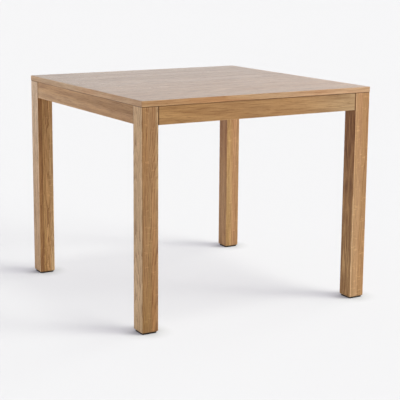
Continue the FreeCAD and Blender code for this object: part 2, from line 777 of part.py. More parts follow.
def draw_beads(sketch, inset):
    """Draw the outlines of the two beads beside the bolts, all round by an inset smaller."""
    near_end = "(Sizes.bead_near_end + %s)" % inset
    far_end = "(Sizes.bead_far_end - %s)" % inset
    half = "(Sizes.bead_width / 2 - %s)" % inset
    draw_rectangle(sketch, near_end, "-" + half, far_end, half)
    draw_rectangle(sketch, "-" + far_end, "-" + half, "-" + near_end, half)


# ---------------------------------------------------------------------------------------------
# Fasteners and dowels: one body for each kind, its frame's origin level with the aprons' middle
# ---------------------------------------------------------------------------------------------

def build_hanger_bolts():
    """Build the hanger bolts, two a corner: a point in the leg, a plain end for the nut."""
    label = "hanger_bolts"
    body = new_body(label)
    low = "-Sizes.bolt_spacing / 2"
    profile = new_sketch(body, label + "_profile", "XY_Plane", low, CORNER_X, CORNER_Y, DIAGONAL_ANGLE)
    radius = "Sizes.bolt_diameter / 2"
    draw_outline(profile, [
        ("0", BOLT_TIP),
        (radius, "%s + Sizes.bolt_point_length" % BOLT_TIP),
        (radius, BOLT_END),
        ("0", BOLT_END),
    ])
    bolt = turn_solid(body, label + "_bolt", profile, "V_Axis")
    copy_to_corners(body, label + "_set", [bolt], "Sizes.bolt_spacing")
    place(body, "0", "0", APRON_MIDDLE)


def build_washers():
    """Build the plain washers under the nuts."""
    label = "bracket_washers"
    body = new_body(label)
    low = "-Sizes.bolt_spacing / 2"
    profile = new_sketch(body, label + "_profile", "XY_Plane", low, CORNER_X, CORNER_Y, DIAGONAL_ANGLE)
    draw_rectangle(profile, "%s / 2" % BOLT_HOLE, WASHER_SEAT, "Sizes.washer_diameter / 2", NUT_SEAT)
    washer = turn_solid(body, label + "_washer", profile, "V_Axis")
    copy_to_corners(body, label + "_set", [washer], "Sizes.bolt_spacing")
    place(body, "0", "0", APRON_MIDDLE)


def build_nuts():
    """Build the hexagon nuts that draw the legs into the corners."""
    label = "bracket_nuts"
    body = new_body(label)
    x = "%s + %s / sqrt(2)" % (CORNER_X, NUT_SEAT)
    y = "%s + %s / sqrt(2)" % (CORNER_Y, NUT_SEAT)
    seat = (x, y, "-Sizes.bolt_spacing / 2")
    block = body.newObject("PartDesign::AdditivePrism", label + "_block")
    block.Polygon = 6
    block.setExpression("Circumradius", "Sizes.nut_across_flats / sqrt(3)")
    block.setExpression("Height", "Sizes.nut_height")
    aim(block, *seat, INTO_TABLE)
    doc.recompute()
    bore = cylinder(body, "Subtractive", label + "_bore", NUT_BORE, "Sizes.nut_height", seat, INTO_TABLE)
    copy_to_corners(body, label + "_set", [block, bore], "Sizes.bolt_spacing")
    place(body, "0", "0", APRON_MIDDLE)


def build_bracket_screws():
    """Build the pan-head screws through the brackets' wings, two a wing."""
    label = "bracket_screws"
    body = new_body(label)
    seat = "(%s + Sizes.plate_thickness)" % APRON_INNER_FACE
    tip = "(%s - Sizes.pan_screw_length)" % seat
    shank = "Sizes.screw_diameter / 2"
    head = "Sizes.pan_head_diameter / 2"
    along_front = "%s + %s" % (CORNER_X, WING_MIDDLE)
    along_left = "%s + %s" % (CORNER_Y, WING_MIDDLE)
    low = "-Sizes.pan_screw_spacing / 2"
    screws = []
    for name, across, up, turn in (
        ("front", along_front, CORNER_Y, 0.0),
        ("left", CORNER_X, along_left, -90.0),
    ):
        profile = new_sketch(body, "%s_%s_profile" % (label, name), "XY_Plane", low, across, up, turn)
        draw_outline(profile, [
            ("0", tip),
            (shank, tip),
            (shank, seat),
            (head, seat),
            (head, "%s + Sizes.pan_head_height" % seat),
            ("0", "%s + Sizes.pan_head_height" % seat),
        ])
        screws.append(turn_solid(body, "%s_%s_screw" % (label, name), profile, "V_Axis"))
    copy_to_corners(body, label + "_set", screws, "Sizes.pan_screw_spacing")
    place(body, "0", "0", APRON_MIDDLE)


def build_dowels():
    """Build the dowels that register the aprons on the legs, two a joint."""
    label = "dowels"
    body = new_body(label)
    end_x = "%s + Sizes.leg_side - Sizes.dowel_length / 2" % CORNER_X
    end_y = "%s + Sizes.leg_side - Sizes.dowel_length / 2" % CORNER_Y
    mid_x = "%s + %s" % (CORNER_X, APRON_MID_LINE)
    mid_y = "%s + %s" % (CORNER_Y, APRON_MID_LINE)
    pins = []
    for name, role, lift, across in (
        ("front", "YZ_Plane", end_x, mid_y),
        ("left", "XZ_Plane", "-(%s)" % end_y, mid_x),
    ):
        end = new_sketch(body, "%s_%s_end" % (label, name), role, lift)
        draw_circle(end, across, "-Sizes.dowel_spacing / 2", "Sizes.dowel_diameter")
        pin = "%s_%s_pin" % (label, name)
        pins.append(add(body, "Pad", pin, end, "Sizes.dowel_length", reverse=(name == "left")))
    copy_to_corners(body, label + "_set", pins, "Sizes.dowel_spacing")
    place(body, "0", "0", APRON_MIDDLE)


def build_cleat_screws():
    """Build the countersunk screws that run up through the cleats into the top."""
    label = "cleat_screws"
    body = new_body(label)
    inset = "(%s + Sizes.cleat_width / 2)" % APRON_INNER_FACE
    shank = "Sizes.screw_diameter / 2"
    head = "Sizes.flat_head_diameter / 2"
    for side, middle_plane, lift in (
        ("front", "XZ_Plane", "-(%s + %s)" % (CORNER_Y, inset)),
        ("left", "YZ_Plane", "%s + %s" % (CORNER_X, inset)),
    ):
        name = "%s_%s" % (label, side)
        first = cleat_screw_places(side)[0]
        profile = new_sketch(body, name + "_profile", middle_plane, lift, first)
        draw_outline(profile, [
            ("0", "0"),
            (head, "0"),
            (shank, "%s - %s" % (head, shank)),
            (shank, "Sizes.flat_screw_length"),
            ("0", "Sizes.flat_screw_length"),
        ])
        screw = turn_solid(body, name + "_screw", profile, "V_Axis")
        along = row(name + "_along", (profile, ["H_Axis"]), cleat_screw_run(side), SCREWS_PER_CLEAT)
        across = mirror(name + "_across", origin_part(body, middle_plane))
        transform(body, name + "_set", [screw], [along, across])
    place(body, "0", "0", CLEAT_BOTTOM)


# ---------------------------------------------------------------------------------------------
# Assembly
# ---------------------------------------------------------------------------------------------

def build_table():
    """Build every sub-part."""
    build_top_layers()
    for side in SIDES:
        build_lipping(side)
        build_apron(side)
        build_cleat(side)
    for corner in CORNERS:
        build_leg(corner)
        build_pad(corner)
        build_bracket(corner)
    build_dowels()
    build_hanger_bolts()
    build_washers()
    build_nuts()
    build_bracket_screws()
    build_cleat_screws()


def check_document():
    """Stop if any object failed to compute or any sub-part has no sound shape."""
    for item in doc.Objects:
        if "Invalid" in item.State or "Error" in item.State:
            raise RuntimeError("%s did not compute" % item.Label)
    for body in sub_parts():
        if body.Shape.isNull() or not body.Shape.isValid() or not body.Shape.Solids:
            raise RuntimeError("%s has no valid solid" % body.Label)


def sub_parts():
    """Return the bodies, one for each sub-part."""
    return [item for item in doc.Objects if item.TypeId == "PartDesign::Body"]


def write_parts():
    """Write each sub-part to a STEP file named after it."""
    os.makedirs("parts", exist_ok=True)
    for body in sub_parts():
        body.Shape.exportStep("parts/%s.step" % body.Label)
        print(body.Label, len(body.Shape.Solids), round(body.Shape.Volume, 1))


fill_sheet()
build_table()
doc.recompute()
check_document()
write_parts()
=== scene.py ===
"""Looks of a square oak dining table: finishes, fasteners, dowels, floor, light and camera."""

import logging
import math
from collections.abc import Callable
from dataclasses import dataclass, field, replace
from enum import Enum

import bmesh
import bpy
from bpy.types import Material, Node, NodeOutputs, NodeSocket, NodeTree, Object
from mathutils import Euler, Matrix, Vector


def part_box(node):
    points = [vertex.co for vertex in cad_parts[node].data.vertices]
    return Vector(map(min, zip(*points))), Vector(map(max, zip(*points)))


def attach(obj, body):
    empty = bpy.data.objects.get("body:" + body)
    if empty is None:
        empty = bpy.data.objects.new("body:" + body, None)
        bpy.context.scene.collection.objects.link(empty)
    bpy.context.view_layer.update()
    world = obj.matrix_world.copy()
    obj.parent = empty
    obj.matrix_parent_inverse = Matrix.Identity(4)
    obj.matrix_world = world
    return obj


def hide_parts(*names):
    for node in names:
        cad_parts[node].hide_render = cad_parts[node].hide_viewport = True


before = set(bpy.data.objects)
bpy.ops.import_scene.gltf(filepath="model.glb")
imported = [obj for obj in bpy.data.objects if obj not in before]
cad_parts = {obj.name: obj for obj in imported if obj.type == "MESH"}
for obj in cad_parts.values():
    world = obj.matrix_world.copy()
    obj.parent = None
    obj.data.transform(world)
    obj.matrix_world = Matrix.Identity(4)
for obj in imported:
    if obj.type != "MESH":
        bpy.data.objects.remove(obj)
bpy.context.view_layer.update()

Colour = tuple[float, float, float]
LOG = logging.getLogger("dining_table")
MILLIMETRE = 0.001
PLAIN: Colour = (1.0, 1.0, 1.0)
MIDDLE = (0.3, 0.7)  # where most of a noise's values lie
SIDES = ("front", "right", "rear", "left")
CORNERS = {"front_left": (-1, -1), "front_right": (1, -1), "rear_right": (1, 1),
           "rear_left": (-1, 1)}


class Grain(Enum):
    """The way a board's fibres run, with the turn that brings that way to +Z."""

    ALONG_X = (0.0, -90.0, 0.0)
    ALONG_Y = (90.0, 0.0, 0.0)
    ALONG_Z = (0.0, 0.0, 0.0)

    def turn(self) -> Euler:
        """Return the turn as an Euler rotation."""
        return Euler([math.radians(angle) for angle in self.value])

    @classmethod
    def along(cls, side: str) -> "Grain":
        """Return the way the long pieces of a side run."""
        return cls.ALONG_X if side in ("front", "rear") else cls.ALONG_Y


class Cut(Enum):
    """What a cutting tool leaves of a piece: all but its own shape, or only that."""

    OUT = "DIFFERENCE"
    DOWN = "INTERSECT"


class Reach(Enum):
    """What a light falls on: the floor alone, or everything but the floor."""

    FLOOR = "INCLUDE"
    TABLE = "EXCLUDE"


def linear(*parts: int) -> Colour:
    """Turn a display colour, with parts from 0 to 255, into the linear one of shaders."""
    return tuple(part / 255 / 12.92 if part / 255 <= 0.04045
                 else ((part / 255 + 0.055) / 1.055) ** 2.4 for part in parts)


# Node graphs

@dataclass(frozen=True)
class Noise:
    """A noise: features in each unit, finer layers, their strength, and its stretch by axis."""

    scale: float
    detail: float = 2.0
    rough: float = 0.5
    stretch: Colour | None = None


@dataclass
class Graph:
    """A node tree and short ways to add nodes to it."""

    tree: NodeTree

    def node(self, kind: str, *values: object, **settings: object) -> Node:
        """Add a node.

        Args:
            kind: Its type name after ShaderNode.
            values: Sources or values for its first inputs, in their order.
            settings: Properties to set on it.

        Returns:
            The new node.
        """
        made = self.tree.nodes.new("ShaderNode" + kind)
        for name, setting in settings.items():
            setattr(made, name, setting)
        for socket, value in zip(made.inputs, values):
            self.feed(socket, value)
        return made

    def feed(self, socket: NodeSocket, source: object) -> None:
        """Link a socket to a source, or set it where the source is a plain value.

        Args:
            socket: The input socket.
            source: An output socket, a number, a vector or a colour.
        """
        if isinstance(source, NodeSocket):
            self.tree.links.new(source, socket)
        elif hasattr(source, "__len__") and len(socket.default_value) == 4 and len(source) == 3:
            socket.default_value = (*source, 1.0)
        else:
            socket.default_value = source

    def fill(self, node: Node, **values: object) -> NodeOutputs:
        """Feed a node's inputs by name.

        Args:
            node: The node.
            values: Sources or values by input name, with _ for each space.

        Returns:
            The node's outputs.
        """
        for name, value in values.items():
            self.feed(node.inputs[name.replace("_", " ")], value)
        return node.outputs

    def math(self, operation: str, *values: object) -> NodeSocket:
        """Add a Math node and return its output."""
        return self.node("Math", *values, operation=operation).outputs[0]

    def plus(self, first: object, second: object) -> NodeSocket:
        """Add two values."""
        return self.math("ADD", first, second)

    def minus(self, first: object, second: object) -> NodeSocket:
        """Take the second value from the first."""
        return self.math("SUBTRACT", first, second)

    def times(self, first: object, second: object) -> NodeSocket:
        """Multiply two values."""
        return self.math("MULTIPLY", first, second)

    def vector(self, operation: str, *values: object) -> NodeSocket:
        """Add a Vector Math node and return its vector, or its number for a length or a dot."""
        outputs = self.node("VectorMath", *values, operation=operation).outputs
        return outputs["Value" if operation in ("LENGTH", "DOT_PRODUCT") else "Vector"]

    def split(self, source: NodeSocket) -> NodeOutputs:
        """Split a vector into its three parts."""
        return self.node("SeparateXYZ", source).outputs

    def join(self, *parts: object) -> NodeSocket:
        """Make a vector of three parts."""
        return self.node("CombineXYZ", *parts).outputs[0]

    def noise(self, source: object, kind: Noise, input_name: str = "Vector") -> NodeSocket:
        """Add a Noise texture.

        Args:
            source: The vector it reads, or the number.
            kind: The noise.
            input_name: W for a number, which makes it a noise along a line.

        Returns:
            A value from 0 to 1, around 0.5.
        """
        if kind.stretch:
            source = self.vector("MULTIPLY", source, kind.stretch)
        made = self.node("TexNoise", noise_dimensions="1D" if input_name == "W" else "3D")
        self.feed(made.inputs[input_name], source)
        return self.fill(made, Scale=kind.scale, Detail=kind.detail, Roughness=kind.rough)["Fac"]

    def dice(self, number: NodeSocket) -> NodeOutputs:
        """Return a chance value and a chance colour for each whole number."""
        return self.fill(self.node("TexWhiteNoise", noise_dimensions="1D"), W=number)

    def spread(self, source: object, low: float, high: float, to_low: float = 0.0,
               to_high: float = 1.0) -> NodeSocket:
        """Map a value smoothly from one range to another.

        Args:
            source: The value.
            low: The value that gives to_low.
            high: The value that gives to_high.
            to_low: The result at and below low.
            to_high: The result at and above high.

        Returns:
            The mapped value.
        """
        return self.node("MapRange", source, low, high, to_low, to_high,
                         interpolation_type="SMOOTHSTEP").outputs["Result"]

    def blend(self, share: object, first: object, second: object,
              kind: str = "MIX") -> NodeSocket:
        """Mix two colours.

        Args:
            share: How much of the second one there is.
            first: The first colour.
            second: The second colour.
            kind: The way they are mixed.

        Returns:
            The mixed colour.
        """
        made = self.node("Mix", share, data_type="RGBA", blend_type=kind)
        self.feed(made.inputs[6], first)
        self.feed(made.inputs[7], second)
        return made.outputs[2]

    def tone(self, share: object, colour: object, tone: object) -> NodeSocket:
        """Multiply a colour by a tone, as far as a share says."""
        return self.blend(share, colour, tone, "MULTIPLY")

    def ramp(self, source: object, *stops: tuple[float, float]) -> NodeSocket:
        """Send a value through a curve of greys.

        Args:
            source: The value.
            stops: Place and brightness of each stop.

        Returns:
            The grey.
        """
        made = self.node("ValToRGB", source)
        elements = made.color_ramp.elements
        while len(elements) < len(stops):
            elements.new(0.5)
        for element, (place, bright) in zip(elements, stops):
            element.position = place
            element.color = (bright, bright, bright, 1.0)
        return made.outputs["Color"]

    def group(self, tree: NodeTree, **values: object) -> NodeOutputs:
        """Place a node group, feed its inputs by name and return its outputs."""
        return self.fill(self.node("Group", node_tree=tree), **values)

    def here(self) -> NodeSocket:
        """Return the point in the object's own coordinates."""
        return self.node("TexCoord").outputs["Object"]

    def emboss(self, shader: Node, height: NodeSocket, strength: float, depth: float) -> None:
        """Give a shader relief.

        Args:
            shader: The shader.
            height: The relief, from 0 to 1.
            strength: How much of it shows.
            depth: How deep it is, in metres.
        """
        bump = self.fill(self.node("Bump"), Strength=strength, Distance=depth, Height=height)
        self.fill(shader, Normal=bump["Normal"])


def start_group(name: str, vectors: tuple[str, ...], numbers: tuple[str, ...],
                results: tuple[str, ...], shifts: tuple[str, ...] = ()
                ) -> tuple[Graph, NodeOutputs, Node]:
    """Start a shader node group.

    Args:
        name: The group's name.
        vectors: Its vector inputs.
        numbers: Its number inputs.
        results: The numbers it puts out.
        shifts: The vectors it puts out.

    Returns:
        Its graph, what it is given, and the node that takes its results.
    """
    tree = bpy.data.node_groups.new(name, "ShaderNodeTree")
    for way, kind, sockets in (("INPUT", "Vector", vectors), ("INPUT", "Float", numbers),
                               ("OUTPUT", "Vector", shifts), ("OUTPUT", "Float", results)):
        for socket in sockets:
            tree.interface.new_socket(socket, in_out=way, socket_type="NodeSocket" + kind)
    start = tree.nodes.new("NodeGroupInput")
    return Graph(tree), start.outputs, tree.nodes.new("NodeGroupOutput")


def start_material(name: str) -> tuple[Material, Graph, Node]:
    """Start a material with a Principled shader.

    Args:
        name: The material's name.

    Returns:
        The material, its graph and its shader node.
    """
    material = bpy.data.materials.new(name)
    material.use_nodes = True
    graph = Graph(material.node_tree)
    graph.tree.nodes.clear()
    shader = graph.node("BsdfPrincipled")
    graph.fill(graph.node("OutputMaterial"), Surface=shader.outputs["BSDF"])
    return material, graph, shader


# Wood

@dataclass
class WoodEffects:
    """The node groups that every wooden finish shares, and the noises in them."""

    wander: Noise = Noise(1.0, 2.0, 0.45, (9.0, 9.0, 2.6))
    ripple: Noise = Noise(1.0, 3.0, 0.6, (110.0, 110.0, 16.0))
    bands: Noise = Noise(55.0)
    tints: Noise = Noise(1.0, stretch=(16.0, 16.0, 4.0))
    pits: Noise = Noise(1500.0, 1.0)
    fibres: Noise = Noise(620.0, 3.0, 0.65, (1.0, 1.0, 0.03))
    streaks: Noise = Noise(170.0, 3.0, 0.6, (1.0, 1.0, 0.06))
    strokes: Noise = Noise(400.0, 2.0, 0.55, (1.0, 1.0, 0.06))
    patches: Noise = Noise(1.0, 1.0, stretch=(26.0, 26.0, 7.0))
    rays: Noise = Noise(1.0)
    arris_breakup: Noise = Noise(1.0, stretch=(60.0, 60.0, 12.0))
    ray_stretch: Colour = (40.0, 260.0, 120.0)
    ray_slant: float = 0.6
    ring_share: float = 0.55
    early_share: float = 0.8
    heart_spread: Colour = (0.06, 0.06, 0.0)
    joint_width: float = 0.0005
    ring_profile: tuple[tuple[float, float], ...] = (
        (0.0, 0.7), (0.06, 1.0), (0.3, 0.45), (0.55, 0.12), (1.0, 0.0))

    def __post_init__(self) -> None:
        """Build the groups once."""
        self.figure_group = self.build_figure()
        self.pores_group = self.build_pores()
        self.flecks_group = self.build_flecks()
        self.boards_group = self.build_boards()
        self.edges_group = self.build_edges()

    def build_figure(self) -> NodeTree:
        """Build growth rings about a heart line that lies along local Z.

        Returns:
            A group with the rings' dark lines, broad bands that follow them, a slow tint, and
            where the porous early wood lies.
        """
        graph, given, end = start_group(
            "growth_rings", ("Vector", "Heart"),
            ("Climb", "Ring Width", "Wander", "Ripple", "Seed"),
            ("Rings", "Bands", "Tint", "Early Wood"))
        seed = given["Seed"]
        place = graph.vector("ADD", given["Vector"],
                             graph.join(seed, graph.times(seed, 1.7), 3.1))
        from_heart = graph.vector("SUBTRACT", given["Vector"], given["Heart"])
        radius = graph.vector("LENGTH", graph.vector("MULTIPLY", from_heart, (1.0, 1.0, 0.0)))
        radius = graph.plus(radius, graph.times(graph.split(given["Vector"])[2], given["Climb"]))
        for kind, size in ((self.wander, given["Wander"]), (self.ripple, given["Ripple"])):
            centred = graph.minus(graph.noise(place, kind), 0.5)
            radius = graph.plus(radius, graph.times(centred, size))
        count = graph.math("DIVIDE", radius, given["Ring Width"])
        within = graph.math("FRACT", count)
        chance = graph.dice(graph.plus(graph.math("FLOOR", count), seed))["Value"]
        line = graph.ramp(within, *self.ring_profile)
        strength = graph.plus(1.0 - self.ring_share, graph.times(chance, self.ring_share))
        bands = graph.noise(graph.plus(radius, seed), self.bands, "W")
        graph.fill(end, Rings=graph.times(line, strength), Bands=graph.spread(bands, *MIDDLE),
                   Tint=graph.spread(graph.noise(place, self.tints), *MIDDLE),
                   Early_Wood=graph.spread(within, 0.4, 0.1))
        return graph.tree

    def build_pores(self) -> NodeTree:
        """Build open pores, two sizes of fibre streak and dark strokes, drawn out along local Z.

        Returns:
            A group with a mask of pores, one of fine fibres, one of broad streaks and one of
            the short strokes where many pores lie end to end.
        """
        graph, given, end = start_group("open_pores", ("Vector",),
                                        ("Early Wood", "Length", "Seed"),
                                        ("Pores", "Fibres", "Streaks", "Strokes"))
        place = graph.vector("ADD", given["Vector"], graph.join(given["Seed"], 0.0, 0.0))
        stretch = graph.join(1.0, 1.0, graph.math("DIVIDE", 1.0, given["Length"]))
        pits = graph.noise(graph.vector("MULTIPLY", place, stretch), self.pits)
        gate = graph.plus(graph.times(given["Early Wood"], self.early_share),
                          1.0 - self.early_share)
        strokes = graph.spread(graph.noise(place, self.strokes), 0.53, 0.68)
        patches = graph.spread(graph.noise(place, self.patches), 0.38, 0.62, 0.4, 1.15)
        graph.fill(end, Pores=graph.times(graph.spread(pits, 0.58, 0.68), gate),
                   Fibres=graph.spread(graph.noise(place, self.fibres), 0.25, 0.75),
                   Streaks=graph.spread(graph.noise(place, self.streaks), *MIDDLE),
                   Strokes=graph.times(strokes, patches))
        return graph.tree

    def build_flecks(self) -> NodeTree:
        """Build the pale ray flecks that lie aslant on faces cut along the rays.

        Returns:
            A group with a mask of flecks.
        """
        graph, given, end = start_group("ray_flecks", ("Vector",), ("Seed",), ("Flecks",))
        parts = graph.split(graph.vector("ADD", given["Vector"],
                                         graph.join(0.0, given["Seed"], 0.0)))
        slant = graph.plus(parts[2], graph.times(parts[1], self.ray_slant))
        drawn = graph.join(*(graph.times(part, size) for part, size in
                             zip((parts[0], parts[1], slant), self.ray_stretch)))
        graph.fill(end, Flecks=graph.spread(graph.noise(drawn, self.rays), 0.6, 0.7))
        return graph.tree

    def build_boards(self) -> NodeTree:
        """Build glued boards side by side, each with its own piece of the tree.

        Returns:
            A group with a shift for each board's heart line, the board's middle, its own tone,
            and the joint lines.
        """
        graph, given, end = start_group(
            "glued_boards", (), ("Across", "Board Width", "Offset", "Seed"),
            ("Middle", "Tone", "Joint"), ("Heart Shift",))
        width, offset = given["Board Width"], given["Offset"]
        run = graph.math("DIVIDE", graph.plus(given["Across"], offset), width)
        number = graph.math("FLOOR", run)
        middle = graph.times(graph.plus(number, 0.5), width)
        own = graph.dice(graph.plus(number, given["Seed"]))
        centred = graph.vector("SUBTRACT", own["Color"], (0.5, 0.5, 0.5))
        near = graph.math("ABSOLUTE", graph.minus(graph.math("FRACT", run), 0.5))
        joint = graph.times(graph.minus(0.5, near), width)
        graph.fill(end, Heart_Shift=graph.vector("MULTIPLY", centred, self.heart_spread),
                   Middle=graph.minus(middle, offset), Tone=own["Value"],
                   Joint=graph.spread(joint, self.joint_width, self.joint_width / 5))
        return graph.tree

    def build_edges(self) -> NodeTree:
        """Build masks from how far a point is from the faces of a board.

        Returns:
            A group with a mask of the long arrises along local Z, broken up a little as by
            handling, which carries their wear and a painted highlight; and masks of the board's two
            ends and of the edge on its upper side, which carry painted shade.
        """
        graph, given, end = start_group("board_edges", ("Vector", "Half", "Upwards"),
                                        ("Arris Width", "Seam Width"), ("Arrises", "Ends", "Top"))
        place, half, up, seam = (given[name] for name in ("Vector", "Half", "Upwards",
                                                          "Seam Width"))
        room = graph.split(graph.vector("SUBTRACT", half, graph.vector("ABSOLUTE", place)))
        nearer = graph.math("MAXIMUM", room[0], room[1])
        uneven = graph.plus(graph.noise(place, self.arris_breakup), 0.5)
        width = graph.times(given["Arris Width"], uneven)
        full = graph.vector("DOT_PRODUCT", half, graph.vector("ABSOLUTE", up))
        below = graph.minus(full, graph.vector("DOT_PRODUCT", place, up))
        graph.fill(end, Arrises=graph.spread(nearer, width, graph.times(width, 0.4)),
                   Ends=graph.spread(room[2], seam, 0.0), Top=graph.spread(below, seam, 0.0))
        return graph.tree


@dataclass(frozen=True)
class Strip:
    """A band across a board, with factors on its colour at the board's low and high ends."""

    start: float
    stop: float
    low: Colour
    high: Colour
    across_y: bool = False
    drift: tuple[float, float] = (-0.37, 0.37)
    streaks: float = 0.0


@dataclass(frozen=True)
class WoodFinish:
    """Solid wood or veneer of one board, cut from its own place in the tree."""

    name: str = ""
    grain: Grain = Grain.ALONG_Z
    seed: float = 0.0
    light: Colour = linear(198, 155, 101)
    dark: Colour = linear(138, 96, 55)
    warm: Colour = (1.0, 0.92, 0.82)
    heart: tuple[float, float] = (0.0, 0.045)
    lean: float = 0.0
    climb: float = 0.03
    ring_width: float = 0.0046
    wander: float = 0.03
    ripple: float = 0.0045
    depth: float = 0.51
    ring_depth: float = 0.55
    band_depth: float = 0.3
    streak_depth: float = 0.42
    stroke_depth: float = 0.35
    fibre_depth: float = 0.2
    fleck_depth: float = 0.0
    ring_gaps: float = 0.65
    warmth: float = 0.5
    pore_length: float = 14.0
    pore_depth: float = 0.5
    pore_shade: float = 0.4
    board_width: float = 10.0
    board_offset: float = 5.0
    boards_across_y: bool = False
    board_depth: float = 0.0
    joint_depth: float = 0.35
    tone: float = 1.0
    strips: tuple[Strip, ...] = ()
    strip_blur: float = 0.0002
    streak_tone: Colour = (0.5, 0.4, 0.3)
    arris_width: float = 0.003
    # pale long edges: wear and a painted highlight
    arris_wear_and_highlight: Colour = (1.12, 1.15, 1.2)
    # the next four paint shade: dark bands at the board's ends and along its upper edge, where
    # joints and the top's overhang are in shade
    end_shade: float = 0.0
    top_shade: float = 0.0
    shade_width: float = 0.002
    shade_tone: Colour = (0.13, 0.07, 0.03)
    roughness: float = 0.42
    pore_roughness: float = 0.25
    band_roughness: float = 0.05
    stroke_roughness: float = 0.12
    gloss: float = 0.3
    coat: float = 0.0
    coat_roughness: float = 0.28
    relief: float = 0.25
    relief_depth: float = 0.0003
    fibre_relief: float = 0.35

    def build(self, effects: WoodEffects, node: str) -> Material:
        """Build the material.

        Args:
            effects: The shared groups.
            node: The CAD node of the board, whose box gives its middle and its size.

        Returns:
            The material.
        """
        low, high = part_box(node)
        turn = self.grain.turn().to_matrix()
        material, graph, shader = start_material(self.name)
        place = graph.fill(graph.node("Mapping"), Vector=graph.here(), Rotation=self.grain.turn(),
                           Location=-(turn @ ((low + high) / 2)))["Vector"]
        half = Vector([abs(part) for part in turn @ ((high - low) / 2)])
        colour, pores, figure = self.paint_wood(graph, effects, place)
        edges = graph.group(effects.edges_group, Vector=place, Half=half,
                            Upwards=turn @ Vector((0, 0, 1)), Arris_Width=self.arris_width,
                            Seam_Width=self.shade_width)
        # pale arrises: wear and a painted highlight
        colour = graph.tone(edges["Arrises"], colour, self.arris_wear_and_highlight)
        colour = graph.tone(1.0, colour, (self.tone,) * 3)
        # painted shade at the board's ends and along its upper edge
        seam = graph.math("MAXIMUM", graph.times(edges["Ends"], self.end_shade),
                          graph.times(edges["Top"], self.top_shade))
        rough = self.roughness
        for mask, share in ((pores["Pores"], self.pore_roughness),
                            (figure["Bands"], self.band_roughness),
                            (pores["Strokes"], self.stroke_roughness)):
            rough = graph.plus(rough, graph.times(mask, share))
        graph.fill(shader, Base_Color=graph.tone(seam, colour, self.shade_tone), Roughness=rough,
                   Specular_IOR_Level=self.gloss, Coat_Weight=self.coat,
                   Coat_Roughness=self.coat_roughness)
        fibres = graph.times(pores["Fibres"], self.fibre_relief)
        graph.emboss(shader, graph.minus(fibres, pores["Pores"]), self.relief, self.relief_depth)
        return material

    def paint_wood(self, graph: Graph, effects: WoodEffects, place: NodeSocket
                   ) -> tuple[NodeSocket, NodeOutputs, NodeOutputs]:
        """Mix the wood's colour.

        Args:
            graph: The material's graph.
            effects: The shared groups.
            place: The point, with the grain along Z and the board's middle at the origin.

        Returns:
            The colour, the pore masks and the figure masks.
        """
        parts = graph.split(place)
        boards = graph.group(effects.boards_group, Across=parts[1 if self.boards_across_y else 0],
                             Board_Width=self.board_width, Offset=self.board_offset,
                             Seed=self.seed)
        lean = graph.times(parts[2], self.lean)
        offset = (lean, boards["Middle"]) if self.boards_across_y else (
            graph.plus(lean, boards["Middle"]), 0.0)
        heart = graph.vector("ADD", boards["Heart Shift"], (*self.heart, 0.0))
        heart = graph.vector("ADD", heart, graph.join(*offset, 0.0))
        figure = graph.group(effects.figure_group, Vector=place, Heart=heart, Climb=self.climb,
                             Ring_Width=self.ring_width, Wander=self.wander,
                             Ripple=self.ripple, Seed=self.seed)
        pores = graph.group(effects.pores_group, Vector=place, Early_Wood=figure["Early Wood"],
                            Length=self.pore_length, Seed=self.seed)
        broken = graph.plus(1.0 - self.ring_gaps, graph.times(pores["Streaks"], self.ring_gaps))
        depth = self.depth
        for mask, mean, share in ((graph.times(figure["Rings"], broken), 0.15, self.ring_depth),
                                  (figure["Bands"], 0.5, self.band_depth),
                                  (pores["Streaks"], 0.5, self.streak_depth),
                                  (pores["Strokes"], 0.25, self.stroke_depth),
                                  (pores["Fibres"], 0.5, self.fibre_depth)):
            depth = graph.plus(depth, graph.times(graph.minus(mask, mean), share))
        if self.fleck_depth:
            flecks = graph.group(effects.flecks_group, Vector=place, Seed=self.seed)
            depth = graph.minus(depth, graph.times(flecks["Flecks"], self.fleck_depth))
        colour = graph.blend(depth, self.light, self.dark)
        colour = graph.tone(graph.times(figure["Tint"], self.warmth), colour, self.warm)
        if self.board_depth:
            own = graph.spread(boards["Tone"], 0.0, 1.0, 1.0 - self.board_depth, 1.0)
            colour = graph.tone(1.0, colour, graph.join(own, own, own))
            joint = graph.times(boards["Joint"], self.joint_depth)
            colour = graph.blend(joint, colour, self.dark)
        for strip in self.strips:
            across = parts[1 if strip.across_y else 0]
            inside = graph.times(
                graph.spread(across, strip.start - self.strip_blur, strip.start),
                graph.spread(across, strip.stop + self.strip_blur, strip.stop))
            tone = graph.blend(graph.spread(parts[2], *strip.drift), strip.low, strip.high)
            dull = graph.times(pores["Streaks"], strip.streaks)
            colour = graph.tone(inside, colour, graph.tone(dull, tone, self.streak_tone))
        hidden = graph.times(pores["Pores"], self.pore_depth)
        deep = tuple(part * self.pore_shade for part in self.dark)
        return graph.blend(hidden, colour, deep), pores, figure


# Other finishes

@dataclass(frozen=True)
class ChipFinish:
    """Pressed wood chips, raw, as at the screw holes of the top's core."""

    name: str = "core_chips"
    pale: Colour = linear(206, 176, 134)
    brown: Colour = linear(126, 92, 58)
    chips_per_metre: float = 420.0
    flatness: float = 2.4
    roughness: float = 0.85
    relief: float = 0.5
    relief_depth: float = 0.0004

    def build(self) -> Material:
        """Build the material.

        Returns:
            The material.
        """
        material, graph, shader = start_material(self.name)
        wide = graph.vector("MULTIPLY", graph.here(), (1.0, 1.0, self.flatness))
        chips = graph.fill(graph.node("TexVoronoi"), Scale=self.chips_per_metre, Vector=wide)
        tone = graph.split(chips["Color"])[0]
        graph.fill(shader, Base_Color=graph.blend(tone, self.pale, self.brown),
                   Roughness=self.roughness)
        graph.emboss(shader, tone, self.relief, self.relief_depth)
        return material


